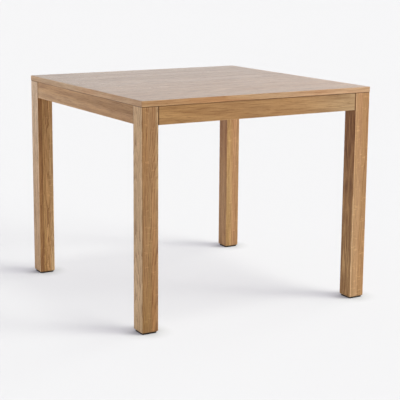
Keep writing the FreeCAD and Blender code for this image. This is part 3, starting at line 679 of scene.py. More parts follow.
@dataclass(frozen=True)
class ZincFinish:
    """Bright zinc plate on steel, with a faint blue cast, rolling lines and dull patches."""

    name: str
    pale: Colour = linear(236, 238, 240)
    dull: Colour = linear(206, 209, 214)
    roughness: float = 0.36
    clouds: Noise = Noise(120.0, 4.0, 0.6)
    cloud_roughness: float = 0.12
    lines: Noise = Noise(1.0, stretch=(60.0, 60.0, 2400.0))
    line_roughness: float = 0.08
    relief: float = 0.15
    relief_depth: float = 0.0001

    def build(self) -> Material:
        """Build the material.

        Returns:
            The material.
        """
        material, graph, shader = start_material(self.name)
        place = graph.here()
        clouds = graph.spread(graph.noise(place, self.clouds), 0.35, 0.65)
        lines = graph.noise(place, self.lines)
        rough = graph.plus(self.roughness, graph.times(clouds, self.cloud_roughness))
        rough = graph.plus(rough, graph.times(lines, self.line_roughness))
        graph.fill(shader, Base_Color=graph.blend(clouds, self.pale, self.dull), Metallic=1.0,
                   Roughness=rough)
        graph.emboss(shader, lines, self.relief, self.relief_depth)
        return material


@dataclass(frozen=True)
class FeltFinish:
    """Dark pressed felt, with matted fibres and paler flecks of dust."""

    name: str = "pressed_felt"
    dark: Colour = linear(12, 7, 4)
    fleck: Colour = linear(34, 24, 17)
    matting: Noise = Noise(1600.0, 4.0, 0.7)
    dust: Noise = Noise(900.0, 2.0, 0.6)
    matting_share: float = 0.4
    roughness: float = 0.95
    sheen: float = 0.05
    relief: float = 0.7
    relief_depth: float = 0.0005

    def build(self) -> Material:
        """Build the material.

        Returns:
            The material.
        """
        material, graph, shader = start_material(self.name)
        place = graph.here()
        matted = graph.noise(place, self.matting)
        flecks = graph.spread(graph.noise(place, self.dust), 0.6, 0.72)
        base = graph.blend(graph.times(matted, self.matting_share), self.dark, self.fleck)
        graph.fill(shader, Base_Color=graph.blend(flecks, base, self.fleck),
                   Roughness=self.roughness, Sheen_Weight=self.sheen)
        graph.emboss(shader, matted, self.relief, self.relief_depth)
        return material


# Bench work

@dataclass
class Bench:
    """Hand tools for turned, threaded and cut pieces, which stand on the Z axis."""

    ridge_share: float = 0.8
    crest_share: float = 0.14
    steps_a_turn: int = 18
    blunt_share: float = 0.08
    arm_share: float = 0.27
    recess_taper: tuple[float, float, float] = (0.4, 0.5, 1.0)

    def choose(self, *pieces: Object) -> None:
        """Deselect everything, then select some pieces and make the first one active.

        Args:
            pieces: The pieces, or none.
        """
        bpy.ops.object.select_all(action="DESELECT")
        for piece in pieces:
            piece.select_set(True)
        if pieces:
            bpy.context.view_layer.objects.active = pieces[0]

    def pick(self, piece: Object, wanted: Callable[[Vector], bool]) -> None:
        """Select some points of the piece in edit mode.

        Args:
            piece: The piece.
            wanted: A test on a point's place.
        """
        mesh = bmesh.from_edit_mesh(piece.data)
        for vertex in mesh.verts:
            vertex.select_set(wanted(vertex.co))
        mesh.select_flush_mode()
        bmesh.update_edit_mesh(piece.data)

    def open_new(self) -> Object:
        """Open the piece just added for editing, with all of it selected.

        Returns:
            The piece.
        """
        bpy.ops.object.transform_apply(location=True, rotation=True, scale=True)
        bpy.ops.object.mode_set(mode="EDIT")
        bpy.ops.mesh.select_all(action="SELECT")
        return bpy.context.object

    def close(self) -> None:
        """Turn the open piece's normals outwards and leave it."""
        bpy.ops.mesh.select_all(action="SELECT")
        bpy.ops.mesh.normals_make_consistent(inside=False)
        bpy.ops.object.mode_set(mode="OBJECT")

    def turn(self, sides: int, *profile: tuple[float, float]) -> Object:
        """Turn a solid: draw its first end, then extrude and resize it station by station.

        Args:
            sides: How many sides the round has.
            profile: Height and radius of each station, in millimetres, from the low end up.

        Returns:
            The closed piece, in metres.
        """
        self.choose()
        height, radius = profile[0]
        bpy.ops.mesh.primitive_circle_add(vertices=sides, radius=radius * MILLIMETRE,
                                          fill_type="NGON", location=(0, 0, height * MILLIMETRE))
        piece = self.open_new()
        for next_height, next_radius in profile[1:]:
            rise = (next_height - height) * MILLIMETRE
            share = next_radius / radius
            bpy.ops.mesh.extrude_region_move(TRANSFORM_OT_translate={"value": (0, 0, rise)})
            bpy.ops.transform.resize(value=(share, share, 1), center_override=(0, 0, 0))
            height, radius = next_height, next_radius
        self.close()
        return piece

    def thread(self, root: float, crest: float, pitch: float, low: float,
               high: float) -> Object:
        """Wind a ridge round a bar, from a cut profile and a screw modifier.

        Args:
            root: Radius of its foot, in millimetres, a little inside the bar.
            crest: Radius of its top.
            pitch: Rise of each turn.
            low: Height where it starts.
            high: Height where it ends.

        Returns:
            The closed ridge, in metres.
        """
        self.choose()
        middle = Vector(((root + crest) / 2, 0, low)) * MILLIMETRE
        bpy.ops.mesh.primitive_plane_add(size=MILLIMETRE, rotation=(math.pi / 2, 0, 0),
                                         location=middle)
        ridge = self.open_new()
        size = (crest - root, 1, pitch * self.ridge_share)
        bpy.ops.transform.resize(value=size, center_override=middle)
        self.pick(ridge, lambda point: point.x > middle.x)
        bpy.ops.transform.resize(value=(1, 1, self.crest_share), center_override=middle)
        bpy.ops.mesh.select_all(action="SELECT")
        bpy.ops.mesh.delete(type="ONLY_FACE")
        bpy.ops.object.mode_set(mode="OBJECT")
        turns = (high - low) / pitch
        screw = ridge.modifiers.new("wind", "SCREW")
        screw.angle = math.tau * turns
        screw.screw_offset = (high - low) * MILLIMETRE
        screw.steps = screw.render_steps = round(self.steps_a_turn * turns)
        screw.use_smooth_shade = False
        bpy.ops.object.modifier_apply(modifier="wind")
        bpy.ops.object.mode_set(mode="EDIT")
        bpy.ops.mesh.select_mode(type="EDGE")
        bpy.ops.mesh.select_all(action="DESELECT")
        bpy.ops.mesh.select_non_manifold()
        bpy.ops.mesh.fill_holes(sides=4)
        bpy.ops.mesh.select_mode(type="VERT")
        self.close()
        return ridge

    def sharpen(self, piece: Object, low: float, high: float) -> None:
        """Draw a piece in to a blunt point, evenly from one height down to another.

        Args:
            piece: The piece.
            low: Height of the point, in millimetres.
            high: Height where the full size starts.
        """
        for vertex in piece.data.vertices:
            share = (vertex.co.z / MILLIMETRE - low) / (high - low)
            share = min(max(share, self.blunt_share), 1.0)
            vertex.co.x *= share
            vertex.co.y *= share

    def cut(self, piece: Object, tool: Object, way: Cut) -> None:
        """Cut a piece with a tool, which is used up.

        Args:
            piece: The piece.
            tool: The tool.
            way: What the tool leaves of the piece.
        """
        self.choose(piece)
        boolean = piece.modifiers.new("cut", "BOOLEAN")
        boolean.operation = way.value
        boolean.solver = "EXACT"
        boolean.object = tool
        bpy.ops.object.modifier_apply(modifier="cut")
        bpy.data.objects.remove(tool)

    def soften(self, piece: Object, angle: float = 32.0) -> None:
        """Shade a piece smooth, except at edges sharper than an angle in degrees."""
        self.choose(piece)
        bpy.ops.object.shade_smooth_by_angle(angle=math.radians(angle))

    def assemble(self, point: tuple[float, float], *pieces: Object) -> Object:
        """Join a screw's pieces, draw in its point and soften it.

        Args:
            point: Heights of the point and of where the full size starts.
            pieces: The pieces.

        Returns:
            The screw.
        """
        self.choose(*pieces)
        bpy.ops.object.join()
        self.sharpen(pieces[0], *point)
        self.soften(pieces[0])
        return pieces[0]

    def cross_recess(self, piece: Object, top: float, width: float, depth: float) -> None:
        """Sink a cross into the top of a screw's head, with walls that close in downwards.

        Args:
            piece: The screw.
            top: Height of the head's top, in millimetres.
            width: Length of each arm pair.
            depth: Depth of the cross.
        """
        at = Vector((0, 0, top)) * MILLIMETRE
        for angle in (0.0, math.pi / 2):
            self.choose()
            bpy.ops.mesh.primitive_cube_add(size=MILLIMETRE, location=at)
            arm = self.open_new()
            size = (width, width * self.arm_share, depth * 2)
            bpy.ops.transform.resize(value=size, center_override=at)
            self.pick(arm, lambda point: point.z < at.z)
            bpy.ops.transform.resize(value=self.recess_taper, center_override=at)
            bpy.ops.object.mode_set(mode="OBJECT")
            arm.data.transform(Matrix.Rotation(angle, 4, "Z"))
            self.cut(piece, arm, Cut.OUT)

    def set_copies(self, master: Object, name: str, material: Material, node: str, slot: str,
                   places: list[Matrix]) -> None:
        """Set a copy of a master at each place, in the stead of a CAD node's solids.

        Args:
            master: The piece that was made at the origin. It is used up.
            name: What the copies are called, before their number.
            material: Their material.
            node: The CAD node.
            slot: The record's material slot; not used.
            places: Where each copy goes.
        """
        master.data.materials.clear()
        master.data.materials.append(material)
        for index, place in enumerate(places):
            piece = master.copy()
            piece.data = master.data.copy()
            piece.data.transform(place)
            piece.name = f"{name}_{index + 1:02d}"
            bpy.context.scene.collection.objects.link(piece)
            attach(piece, "root")
            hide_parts(node)
        LOG.info("%s: %d set in place of %s", name, len(places), node)
        bpy.data.objects.remove(master)


def stand(origin: Vector, way: Vector, spin: float) -> Matrix:
    """Return the place of a piece that stands on a point.

    Args:
        origin: Where its origin goes, in millimetres.
        way: The direction of its axis.
        spin: How far it is turned on its axis, in degrees.

    Returns:
        Its matrix, in metres.
    """
    turn = way.to_track_quat("Z", "Y").to_matrix().to_4x4()
    return (Matrix.Translation(origin * MILLIMETRE) @ turn
            @ Matrix.Rotation(math.radians(spin), 4, "Z"))


# The table's wooden pieces

def dress_node(node: str, material: Material) -> None:
    """Give a material to every slot of a CAD node.

    Args:
        node: The node.
        material: The material.
    """
    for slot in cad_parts[node].material_slots:
        slot.material = material
    LOG.info("%s takes %s", node, material.name)


def dress_boards(effects: WoodEffects, wood: str, stem: str, finishes: dict[str, WoodFinish],
                 first: float, step: float) -> None:
    """Dress boards of one kind, each cut from its own place in the tree.

    Args:
        effects: The shared groups.
        wood: The wood's name.
        stem: How the names of their nodes start.
        finishes: Each board's finish by how the name of its node ends.
        first: The first board's seed.
        step: How far apart the seeds are.
    """
    for index, (end, finish) in enumerate(finishes.items()):
        node = stem + end
        own = replace(finish, name=f"{wood}_{node}", seed=first + step * index)
        dress_node(node, own.build(effects, node))


@dataclass
class OakLegs:
    """The four square legs, each with its -X face toned apart as painted light."""

    effects: WoodEffects
    seeds: tuple[float, float] = (3.0, 2.3)
    x_face_light_bound: float = -0.0288
    edge: float = 0.04
    oak: WoodFinish = WoodFinish(
        climb=0.02, fleck_depth=0.3, arris_width=0.004, arris_wear_and_highlight=(1.25, 1.32, 1.42),
        # dark leg ends: painted shade under the top and at the foot
        end_shade=0.85, shade_width=0.004)

    def finishes(self) -> dict[str, WoodFinish]:
        """Choose the wood of each leg: tone, figure, and the strips of tone across it.

        Some strips are no boards. Each leg's first strip takes in its -X face: on the left legs it
        is paler and bluer, a painted sheen, and on the right legs, which face in under the table,
        it darkens upwards, a painted shade. The narrow ones beside an arris paint its highlight, or
        the shadow line of a joint, and those with a plain end shift the tone part of the way up.

        Returns:
            The finish of each leg by its corner.
        """
        # the first strip of each leg is its -X face: painted sheen on the left legs, painted shade
        # on the right
        face, edge = self.x_face_light_bound, self.edge
        return {
            "front_left": replace(
                self.oak, tone=0.96, heart=(0.012, -0.002), lean=0.02, ring_depth=0.9,
                ripple=0.006, climb=0.035, streak_depth=0.3, band_depth=0.1, strips=(
                    Strip(-edge, face, (1.22, 1.42, 1.88), (1.28, 1.52, 2.2), drift=(-0.37, -0.2)),
                    Strip(face, -0.026, (0.62, 0.56, 0.5), (0.68, 0.6, 0.52)),
                    Strip(-0.026, -0.008, (0.82, 0.78, 0.64), (1.0, 0.96, 1.0),
                          drift=(-0.37, -0.1)),
                    Strip(-0.008, 0.006, (0.87, 0.85, 0.77), (1.04, 1.05, 1.2)),
                    Strip(0.006, 0.019, (1.06, 0.96, 0.92), (1.02, 0.99, 1.12)),
                    Strip(0.019, edge, (1.03, 1.0, 1.1), (1.11, 1.24, 1.55)),
                    # painted highlight on the arris by the front apron, then the painted shadow
                    # line of the joint
                    Strip(0.0232, 0.0272, PLAIN, (1.28, 1.34, 1.5), drift=(0.26, 0.32)),
                    Strip(0.0272, 0.0297, PLAIN, (0.3, 0.22, 0.14), drift=(0.29, 0.31)))),
            "front_right": replace(
                self.oak, tone=1.06, heart=(0.06, 0.0), ring_depth=0.45, streak_depth=0.2,
                band_depth=0.15, strips=(
                    Strip(-edge, face, (1.09, 1.16, 1.21), (0.75, 0.65, 0.62), streaks=1.25),
                    Strip(face, -0.014, (1.07, 1.12, 1.33), (1.06, 1.11, 1.36)),
                    Strip(-0.014, 0.001, (1.17, 1.24, 1.53), (0.96, 0.95, 1.17)),
                    Strip(0.001, edge, (1.08, 1.1, 1.22), (0.89, 0.89, 1.01)),
                    # painted highlight on the left arris; the last strip tones down the painted
                    # arris highlight on the right edge
                    Strip(face, -0.0255, (1.45, 1.6, 1.85), (1.1, 1.1, 1.15)),
                    Strip(0.026, edge, (0.94, 0.89, 0.83), (0.94, 0.89, 0.83)))),
            "rear_right": replace(
                self.oak, heart=(-0.05, 0.09), lean=0.06, strips=(
                    Strip(-edge, face, (0.92, 0.9, 1.0), (0.78, 0.68, 0.7), drift=(-0.06, 0.12)),
                    Strip(face, -0.012, (0.91, 0.97, 0.95), (1.05, 1.17, 1.24),
                          drift=(-0.25, -0.08)),
                    Strip(-0.012, 0.0, (0.99, 1.05, 1.15), (0.95, 0.94, 1.06)),
                    Strip(0.0, 0.016, (0.95, 0.94, 1.12), (0.96, 0.92, 1.1)),
                    Strip(0.016, edge, (0.9, 0.9, 1.0), (0.92, 0.94, 1.15)))),
            "rear_left": replace(
                self.oak, tone=1.01, heart=(-0.012, -0.037), lean=0.02, ring_depth=1.2,
                wander=0.05, ripple=0.009, strips=(
                    Strip(-edge, face, (1.16, 1.28, 1.72), (1.42, 1.8, 3.1)),
                    Strip(face, -0.013, (0.76, 0.67, 0.6), (0.58, 0.48, 0.4), drift=(0.1, 0.25)),
                    Strip(-0.013, -0.002, (1.03, 1.02, 0.92), (0.96, 0.95, 0.92)),
                    Strip(-0.013, -0.002, PLAIN, (1.1, 1.13, 1.2), drift=(-0.25, -0.1)),
                    Strip(-0.013, -0.002, PLAIN, (0.91, 0.89, 0.84), drift=(0.1, 0.2)),
                    Strip(-0.002, 0.014, (1.2, 1.2, 1.22), (0.95, 0.95, 0.98)),
                    Strip(0.014, edge, (1.3, 1.5, 1.9), (1.18, 1.26, 1.36)))),
        }

    def dress(self) -> None:
        """Give each leg its own wood."""
        dress_boards(self.effects, "oak", "leg_", self.finishes(), *self.seeds)


@dataclass
class OakAprons:
    """The four rails under the top, cut so that their faces show arched figure."""

    effects: WoodEffects
    seeds: tuple[float, float] = (11.0, 3.1)
    oak: WoodFinish = WoodFinish(
        # dark ends and upper edge: painted shade at the legs and under the top
        climb=0.02, wander=0.016, ring_depth=0.5, streak_depth=0.32, end_shade=0.9,
        top_shade=0.68, shade_width=0.0047, strips=(
            Strip(-1, 1, (1.04, 1.03, 1.02), (0.97, 0.95, 0.98), drift=(-0.39, -0.05)),
            Strip(-1, 1, PLAIN, (1.02, 1.2, 1.52), drift=(0.06, 0.36))))
    # the left apron's upper half is painted darker near the front, as shade under the top; both
    # halves grow paler and bluer towards the rear
    halves: tuple[Strip, Strip] = (
        Strip(-0.04, 0.003, (0.9, 0.87, 0.94), (1.25, 1.3, 1.6), across_y=True),
        Strip(0.003, 0.04, (1.01, 1.0, 1.16), (1.2, 1.27, 1.66), across_y=True))

    def dress(self) -> None:
        """Give each apron its own wood, with its heart line, that line's lean, and its tone."""
        finishes = {}
        for side, heart, lean, tone in (("front", (-0.06, 0.045), 0.14, 0.98),
                                        ("right", (0.05, 0.02), 0.08, 0.98),
                                        ("rear", (0.01, -0.05), 0.1, 0.97),
                                        ("left", (0.02, -0.14), 0.0, 0.96)):
            finishes[side] = replace(self.oak, grain=Grain.along(side), heart=heart, lean=lean,
                                     tone=tone)
        finishes["left"] = replace(finishes["left"], strips=self.halves)
        dress_boards(self.effects, "oak", "apron_", finishes, *self.seeds)


@dataclass
class OakTop:
    """The veneered top, its core, and the solid lippings round it."""

    effects: WoodEffects
    veneer_seeds: tuple[float, float] = (21.0, 6.0)
    lipping_seeds: tuple[float, float] = (31.0, 1.9)
    veneer: WoodFinish = WoodFinish(
        grain=Grain.ALONG_X, heart=(0.09, 0.0), wander=0.06, ring_width=0.006, ring_depth=0.6,
        stroke_depth=1.0, streak_depth=0.6, board_width=0.178, board_offset=0.02,
        boards_across_y=True, board_depth=0.04, roughness=0.27, gloss=0.5, coat=0.36, tone=0.91,
        arris_wear_and_highlight=PLAIN, strips=(
            Strip(-1, 1, (1.0, 0.93, 1.0), (0.93, 0.9, 1.1)),
            Strip(-1, -0.376, (1.0, 1.03, 1.08), (1.0, 1.05, 1.14), across_y=True),
            Strip(-0.02, 1, (0.91, 0.92, 0.94), (0.91, 0.92, 0.96), across_y=True)))
    lipping: WoodFinish = WoodFinish(
        light=linear(212, 172, 124), dark=linear(170, 126, 82), warm=(1.0, 0.82, 0.68),
        heart=(0.03, 0.03), climb=0.02, warmth=0.8, arris_width=0.002,
        strips=(Strip(-1, 1, (0.95, 0.93, 0.93), (0.96, 1.02, 1.24), drift=(-0.3, 0.3)),))
    left: Strip = Strip(-1, 1, (0.83, 0.82, 0.94), (1.02, 1.16, 1.5), drift=(-0.45, -0.1))

    def dress(self) -> None:
        """Dress the veneers, the core and the lippings."""
        veneers = {"top_veneer": self.veneer, "underside_veneer": self.veneer}
        dress_boards(self.effects, "oak", "tabletop_", veneers, *self.veneer_seeds)
        dress_node("tabletop_core", ChipFinish().build())
        lippings = {side: replace(self.lipping, grain=Grain.along(side)) for side in SIDES}
        lippings["left"] = replace(lippings["left"], strips=(self.left,))
        dress_boards(self.effects, "oak", "tabletop_lipping_", lippings, *self.lipping_seeds)


@dataclass
class HiddenWood:
    """The softwood cleats and beech dowels behind the aprons, in millimetres."""

    effects: WoodEffects
    bench: Bench = field(default_factory=Bench)
    seeds: tuple[float, float] = (41.0, 1.3)
    spruce: WoodFinish = WoodFinish(
        light=linear(224, 194, 146), dark=linear(184, 140, 88), warm=(1.0, 0.93, 0.84),
        heart=(0.02, 0.05), ring_width=0.0026, ring_depth=0.8, band_depth=0.1,
        pore_depth=0.05, roughness=0.62, relief=0.15)
    beech: WoodFinish = WoodFinish(
        light=linear(212, 170, 128), dark=linear(182, 136, 98), seed=51.0, pore_depth=0.3,
        pore_length=4.0, roughness=0.6, arris_wear_and_highlight=PLAIN)
    dowel_radius: float = 4.0
    dowel_length: float = 30.0
    dowel_chamfer: float = 0.9
    dowel_flutes: int = 12
    flute_share: float = 0.9
    dowel_end: float = 404.5
    dowel_line: float = 437.5
    dowel_heights: tuple[float, float] = (696.5, 726.5)
    dowel_spin: float = 17.0

    def make_dowel(self) -> Object:
        """Make a dowel with chamfered ends and flutes that let the glue out.

        Returns:
            The dowel.
        """
        radius, length, chamfer = self.dowel_radius, self.dowel_length, self.dowel_chamfer
        sides = 3 * self.dowel_flutes
        dowel = self.bench.turn(sides, (0, radius - chamfer), (chamfer, radius),
                                (length - chamfer, radius), (length, radius - chamfer))
        self.bench.choose(dowel)
        bpy.ops.object.mode_set(mode="EDIT")
        bpy.ops.mesh.select_mode(type="VERT")
        self.bench.pick(dowel, lambda point: round(
            math.atan2(point.y, point.x) / math.tau * sides) % 3 == 0)
        bpy.ops.transform.resize(value=(self.flute_share, self.flute_share, 1),
                                 center_override=(0, 0, 0))
        bpy.ops.object.mode_set(mode="OBJECT")
        self.bench.soften(dowel, 20.0)
        return dowel

    def dowel_places(self, grain: Grain) -> list[Matrix]:
        """Place the dowels that lie one way.

        Args:
            grain: That way.

        Returns:
            Eight places.
        """
        places = []
        for side_x, side_y in CORNERS.values():
            for height in self.dowel_heights:
                if grain is Grain.ALONG_X:
                    origin = Vector((side_x * self.dowel_end, side_y * self.dowel_line, height))
                    way = Vector((-side_x, 0, 0))
                else:
                    origin = Vector((side_x * self.dowel_line, side_y * self.dowel_end, height))
                    way = Vector((0, -side_y, 0))
                places.append(stand(origin, way, self.dowel_spin * len(places)))
        return places

    def dress(self) -> None:
        """Dress the cleats and set the dowels."""
        cleats = {side: replace(self.spruce, grain=Grain.along(side)) for side in SIDES}
        dress_boards(self.effects, "spruce", "cleat_", cleats, *self.seeds)
        for name, grain in (("dowel_along_x", Grain.ALONG_X), ("dowel_along_y", Grain.ALONG_Y)):
            beech = replace(self.beech, name="beech_" + name, grain=grain)
            self.bench.set_copies(self.make_dowel(), name, beech.build(self.effects, "dowels"),
                                  "dowels", "beech_dowel", self.dowel_places(grain))


# Feet and hardware

class FootPads:
    """The felt pads under the legs."""

    def dress(self) -> None:
        """Dress the four pads alike."""
        felt = FeltFinish().build()
        for corner in CORNERS:
            dress_node("foot_pad_" + corner, felt)


@dataclass(frozen=True)
class WoodScrew:
    """A wood screw in millimetres, with heights from its seat and its head upwards."""

    tip: float
    point: float
    pitch: float
    thread_end: float
    core_end: float
    shank_start: float
    shank_end: float
    head: tuple[tuple[float, float], ...]
    recess: tuple[float, float]
    core: float = 1.4
    shank: float = 1.95

    def make(self, bench: Bench) -> Object:
        """Make the screw, with its seat at the origin.

        Args:
            bench: The tools.

        Returns:
            The screw.
        """
        body = bench.turn(24, (self.tip, self.core), (self.core_end, self.core),
                          (self.shank_start, self.shank), (self.shank_end, self.shank))
        ridge = bench.thread(self.core - 0.1, self.shank + 0.05, self.pitch, self.tip + 0.8,
                             self.thread_end)
        cap = bench.turn(40, *self.head)
        bench.cross_recess(cap, self.head[-1][0], *self.recess)
        return bench.assemble((self.tip, self.tip + self.point), body, ridge, cap)


@dataclass
class Hardware:
    """The pressed brackets and what is bolted and screwed through them, in millimetres."""

    bench: Bench = field(default_factory=Bench)
    half_table: float = 449.5
    row_height: float = 711.5
    bolt_spacing: float = 26.0
    bolt_tip: float = 30.711
    bolt_length: float = 63.1
    bolt_radius: float = 4.0
    bolt_root: float = 3.32
    bolt_point: float = 7.0
    wood_thread_root: float = 2.9
    wood_thread_end: float = 34.0
    wood_pitch: float = 3.1
    bolt_thread_start: float = 41.5
    bolt_pitch: float = 1.25
    washer_seat: float = 80.711
    washer_radius: float = 8.0
    washer_thickness: float = 1.6
    washer_bore: float = 4.3
    nut_seat: float = 82.311
    nut_flats: float = 13.0
    nut_height: float = 6.5
    nut_bore: float = 4.05
    screw_spacing: float = 30.0
    wing_middle: float = 103.314
    wing_face: float = 24.0
    pan_screw: WoodScrew = WoodScrew(
        tip=-16.0, point=4.0, pitch=1.6, thread_end=-2.6, core_end=-2.5, shank_start=-1.5,
        shank_end=0.0, recess=(4.4, 1.9), head=(
            (-0.2, 3.6), (0.0, 3.88), (0.35, 4.0), (0.9, 3.98), (1.5, 3.72), (2.0, 3.25),
            (2.4, 2.5), (2.6, 1.4)))
    flat_screw: WoodScrew = WoodScrew(
        tip=-32.0, point=5.0, pitch=1.8, thread_end=-9.2, core_end=-9.0, shank_start=-8.0,
        shank_end=-1.8, recess=(4.6, 1.7),
        head=((-2.05, 1.95), (-0.25, 3.8), (-0.1, 3.98), (0.0, 3.9)))
    flat_height: float = 720.0
    flat_from_middle: float = 416.5
    flat_spacing: float = 254.186
    diagonal_spin: float = 41.0
    wing_spin: float = 29.0
    flat_spin: float = 53.0

    def diagonal_places(self, away: float) -> list[Matrix]:
        """Place two pieces a corner, on the diagonal.

        Args:
            away: How far in from the outer corner their origins are.

        Returns:
            Eight places.
        """
        places = []
        for side_x, side_y in CORNERS.values():
            way = Vector((-side_x, -side_y, 0)).normalized()
            for half in (-1, 1):
                origin = Vector((side_x, side_y, 0)) * self.half_table + way * away
                origin.z = self.row_height + half * self.bolt_spacing / 2
                places.append(stand(origin, way, self.diagonal_spin * len(places)))
        return places

    def wing_places(self) -> list[Matrix]:
        """Place the screws through the brackets' wings.

        Returns:
            Sixteen places.
        """
        places = []
        middle = self.half_table - self.wing_middle
        seat = self.half_table - self.wing_face
        for side_x, side_y in CORNERS.values():
            for half in (-1, 1):
                height = self.row_height + half * self.screw_spacing / 2
                for x, y, way in ((middle, seat, (0, -side_y, 0)), (seat, middle, (-side_x, 0, 0))):
                    origin = Vector((side_x * x, side_y * y, height))
                    places.append(stand(origin, Vector(way), self.wing_spin * len(places)))
        return places

    def cleat_places(self) -> list[Matrix]:
        """Place the screws up through the cleats.

        Returns:
            Twelve places.
        """
        places = []
        for side in (-1, 1):
            for step in (-1, 0, 1):
                across, middle = side * self.flat_from_middle, step * self.flat_spacing
                for x, y in ((middle, across), (across, middle)):
                    origin = Vector((x, y, self.flat_height))
                    places.append(stand(origin, Vector((0, 0, -1)),
                                        self.flat_spin * len(places)))
        return places

    def make_bolt(self) -> Object:
        """Make a hanger bolt: coarse thread and point for the leg, fine thread for the nut.

        Returns:
            The bolt.
        """
        full, root, end = self.bolt_radius, self.bolt_root, self.bolt_length
        tip, low, high = self.wood_thread_root, self.wood_thread_end, self.bolt_thread_start
        bar = self.bench.turn(
            32, (0, tip), (self.bolt_point, tip), (low - 1, tip), (low, full),
            (high - 0.7, full), (high, root), (end - 0.8, root), (end, root - 0.8))
        coarse = self.bench.thread(tip - 0.2, full, self.wood_pitch, 1.5, low - 1.5)
        fine = self.bench.thread(root - 0.15, full, self.bolt_pitch, high, end - 1.4)
        return self.bench.assemble((0, self.bolt_point), bar, coarse, fine)

    def make_washer(self) -> Object:
        """Make a stamped washer, with edges rounded by the die.

        Returns:
            The washer.
        """
        radius, thickness, bore = self.washer_radius, self.washer_thickness, self.washer_bore
        disc = self.bench.turn(
            56, (0, radius - 0.3), (0.15, radius), (thickness - 0.35, radius),
            (thickness - 0.1, radius - 0.12), (thickness, radius - 0.4))
        hole = self.bench.turn(48, (-1, bore), (thickness - 0.2, bore), (thickness, bore + 0.2),
                               (thickness + 1, bore + 0.2))
        self.bench.cut(disc, hole, Cut.OUT)
        self.bench.soften(disc)
        return disc

    def make_nut(self) -> Object:
        """Make a hexagon nut whose corners are chamfered on both faces.

        Returns:
            The nut.
        """
        corner, face = self.nut_flats / math.sqrt(3), self.nut_flats * 0.475
        height, wide, bore = self.nut_height, self.nut_bore + 0.5, self.nut_bore
        chamfer = (corner - face) * math.tan(math.radians(30))
        nut = self.bench.turn(6, (0, corner), (height, corner))
        blank = self.bench.turn(72, (0, face), (chamfer, corner + 0.02),
                                (height - chamfer, corner + 0.02), (height, face))
        self.bench.cut(nut, blank, Cut.DOWN)
        drill = self.bench.turn(48, (-1, wide), (0, wide), (0.5, bore), (height - 0.5, bore),
                                (height, wide), (height + 1, wide))
        self.bench.cut(nut, drill, Cut.OUT)
        self.bench.soften(nut, 12.0)
        return nut

    def dress(self) -> None:
        """Dress the brackets and set the detailed fasteners."""
        sheet = ZincFinish("zinc_sheet").build()
        for corner in CORNERS:
            dress_node("corner_bracket_" + corner, sheet)
        bright = ZincFinish("zinc_fasteners", roughness=0.28).build()
        for name, master, places in (
            ("hanger_bolt", self.make_bolt(), self.diagonal_places(self.bolt_tip)),
            ("bracket_washer", self.make_washer(), self.diagonal_places(self.washer_seat)),
            ("bracket_nut", self.make_nut(), self.diagonal_places(self.nut_seat)),
            ("bracket_screw", self.pan_screw.make(self.bench), self.wing_places()),
            ("cleat_screw", self.flat_screw.make(self.bench), self.cleat_places()),
        ):
            self.bench.set_copies(master, name, bright, name + "s", "zinc_steel", places)


# Studio

def direction(azimuth: float, elevation: float) -> Vector:
    """Return a direction from the table.

    Args:
        azimuth: Degrees from the front towards the right.
        elevation: Degrees upwards.

    Returns:
        The direction, one metre long.
    """
    turn, rise = math.radians(azimuth), math.radians(elevation)
    return Vector((math.sin(turn) * math.cos(rise), -math.cos(turn) * math.cos(rise),
                   math.sin(rise)))


@dataclass(frozen=True)
class SoftSun:
    """A soft light from far off, with its direction and its breadth in degrees."""

    name: str
    energy: float
    azimuth: float
    elevation: float
    breadth: float


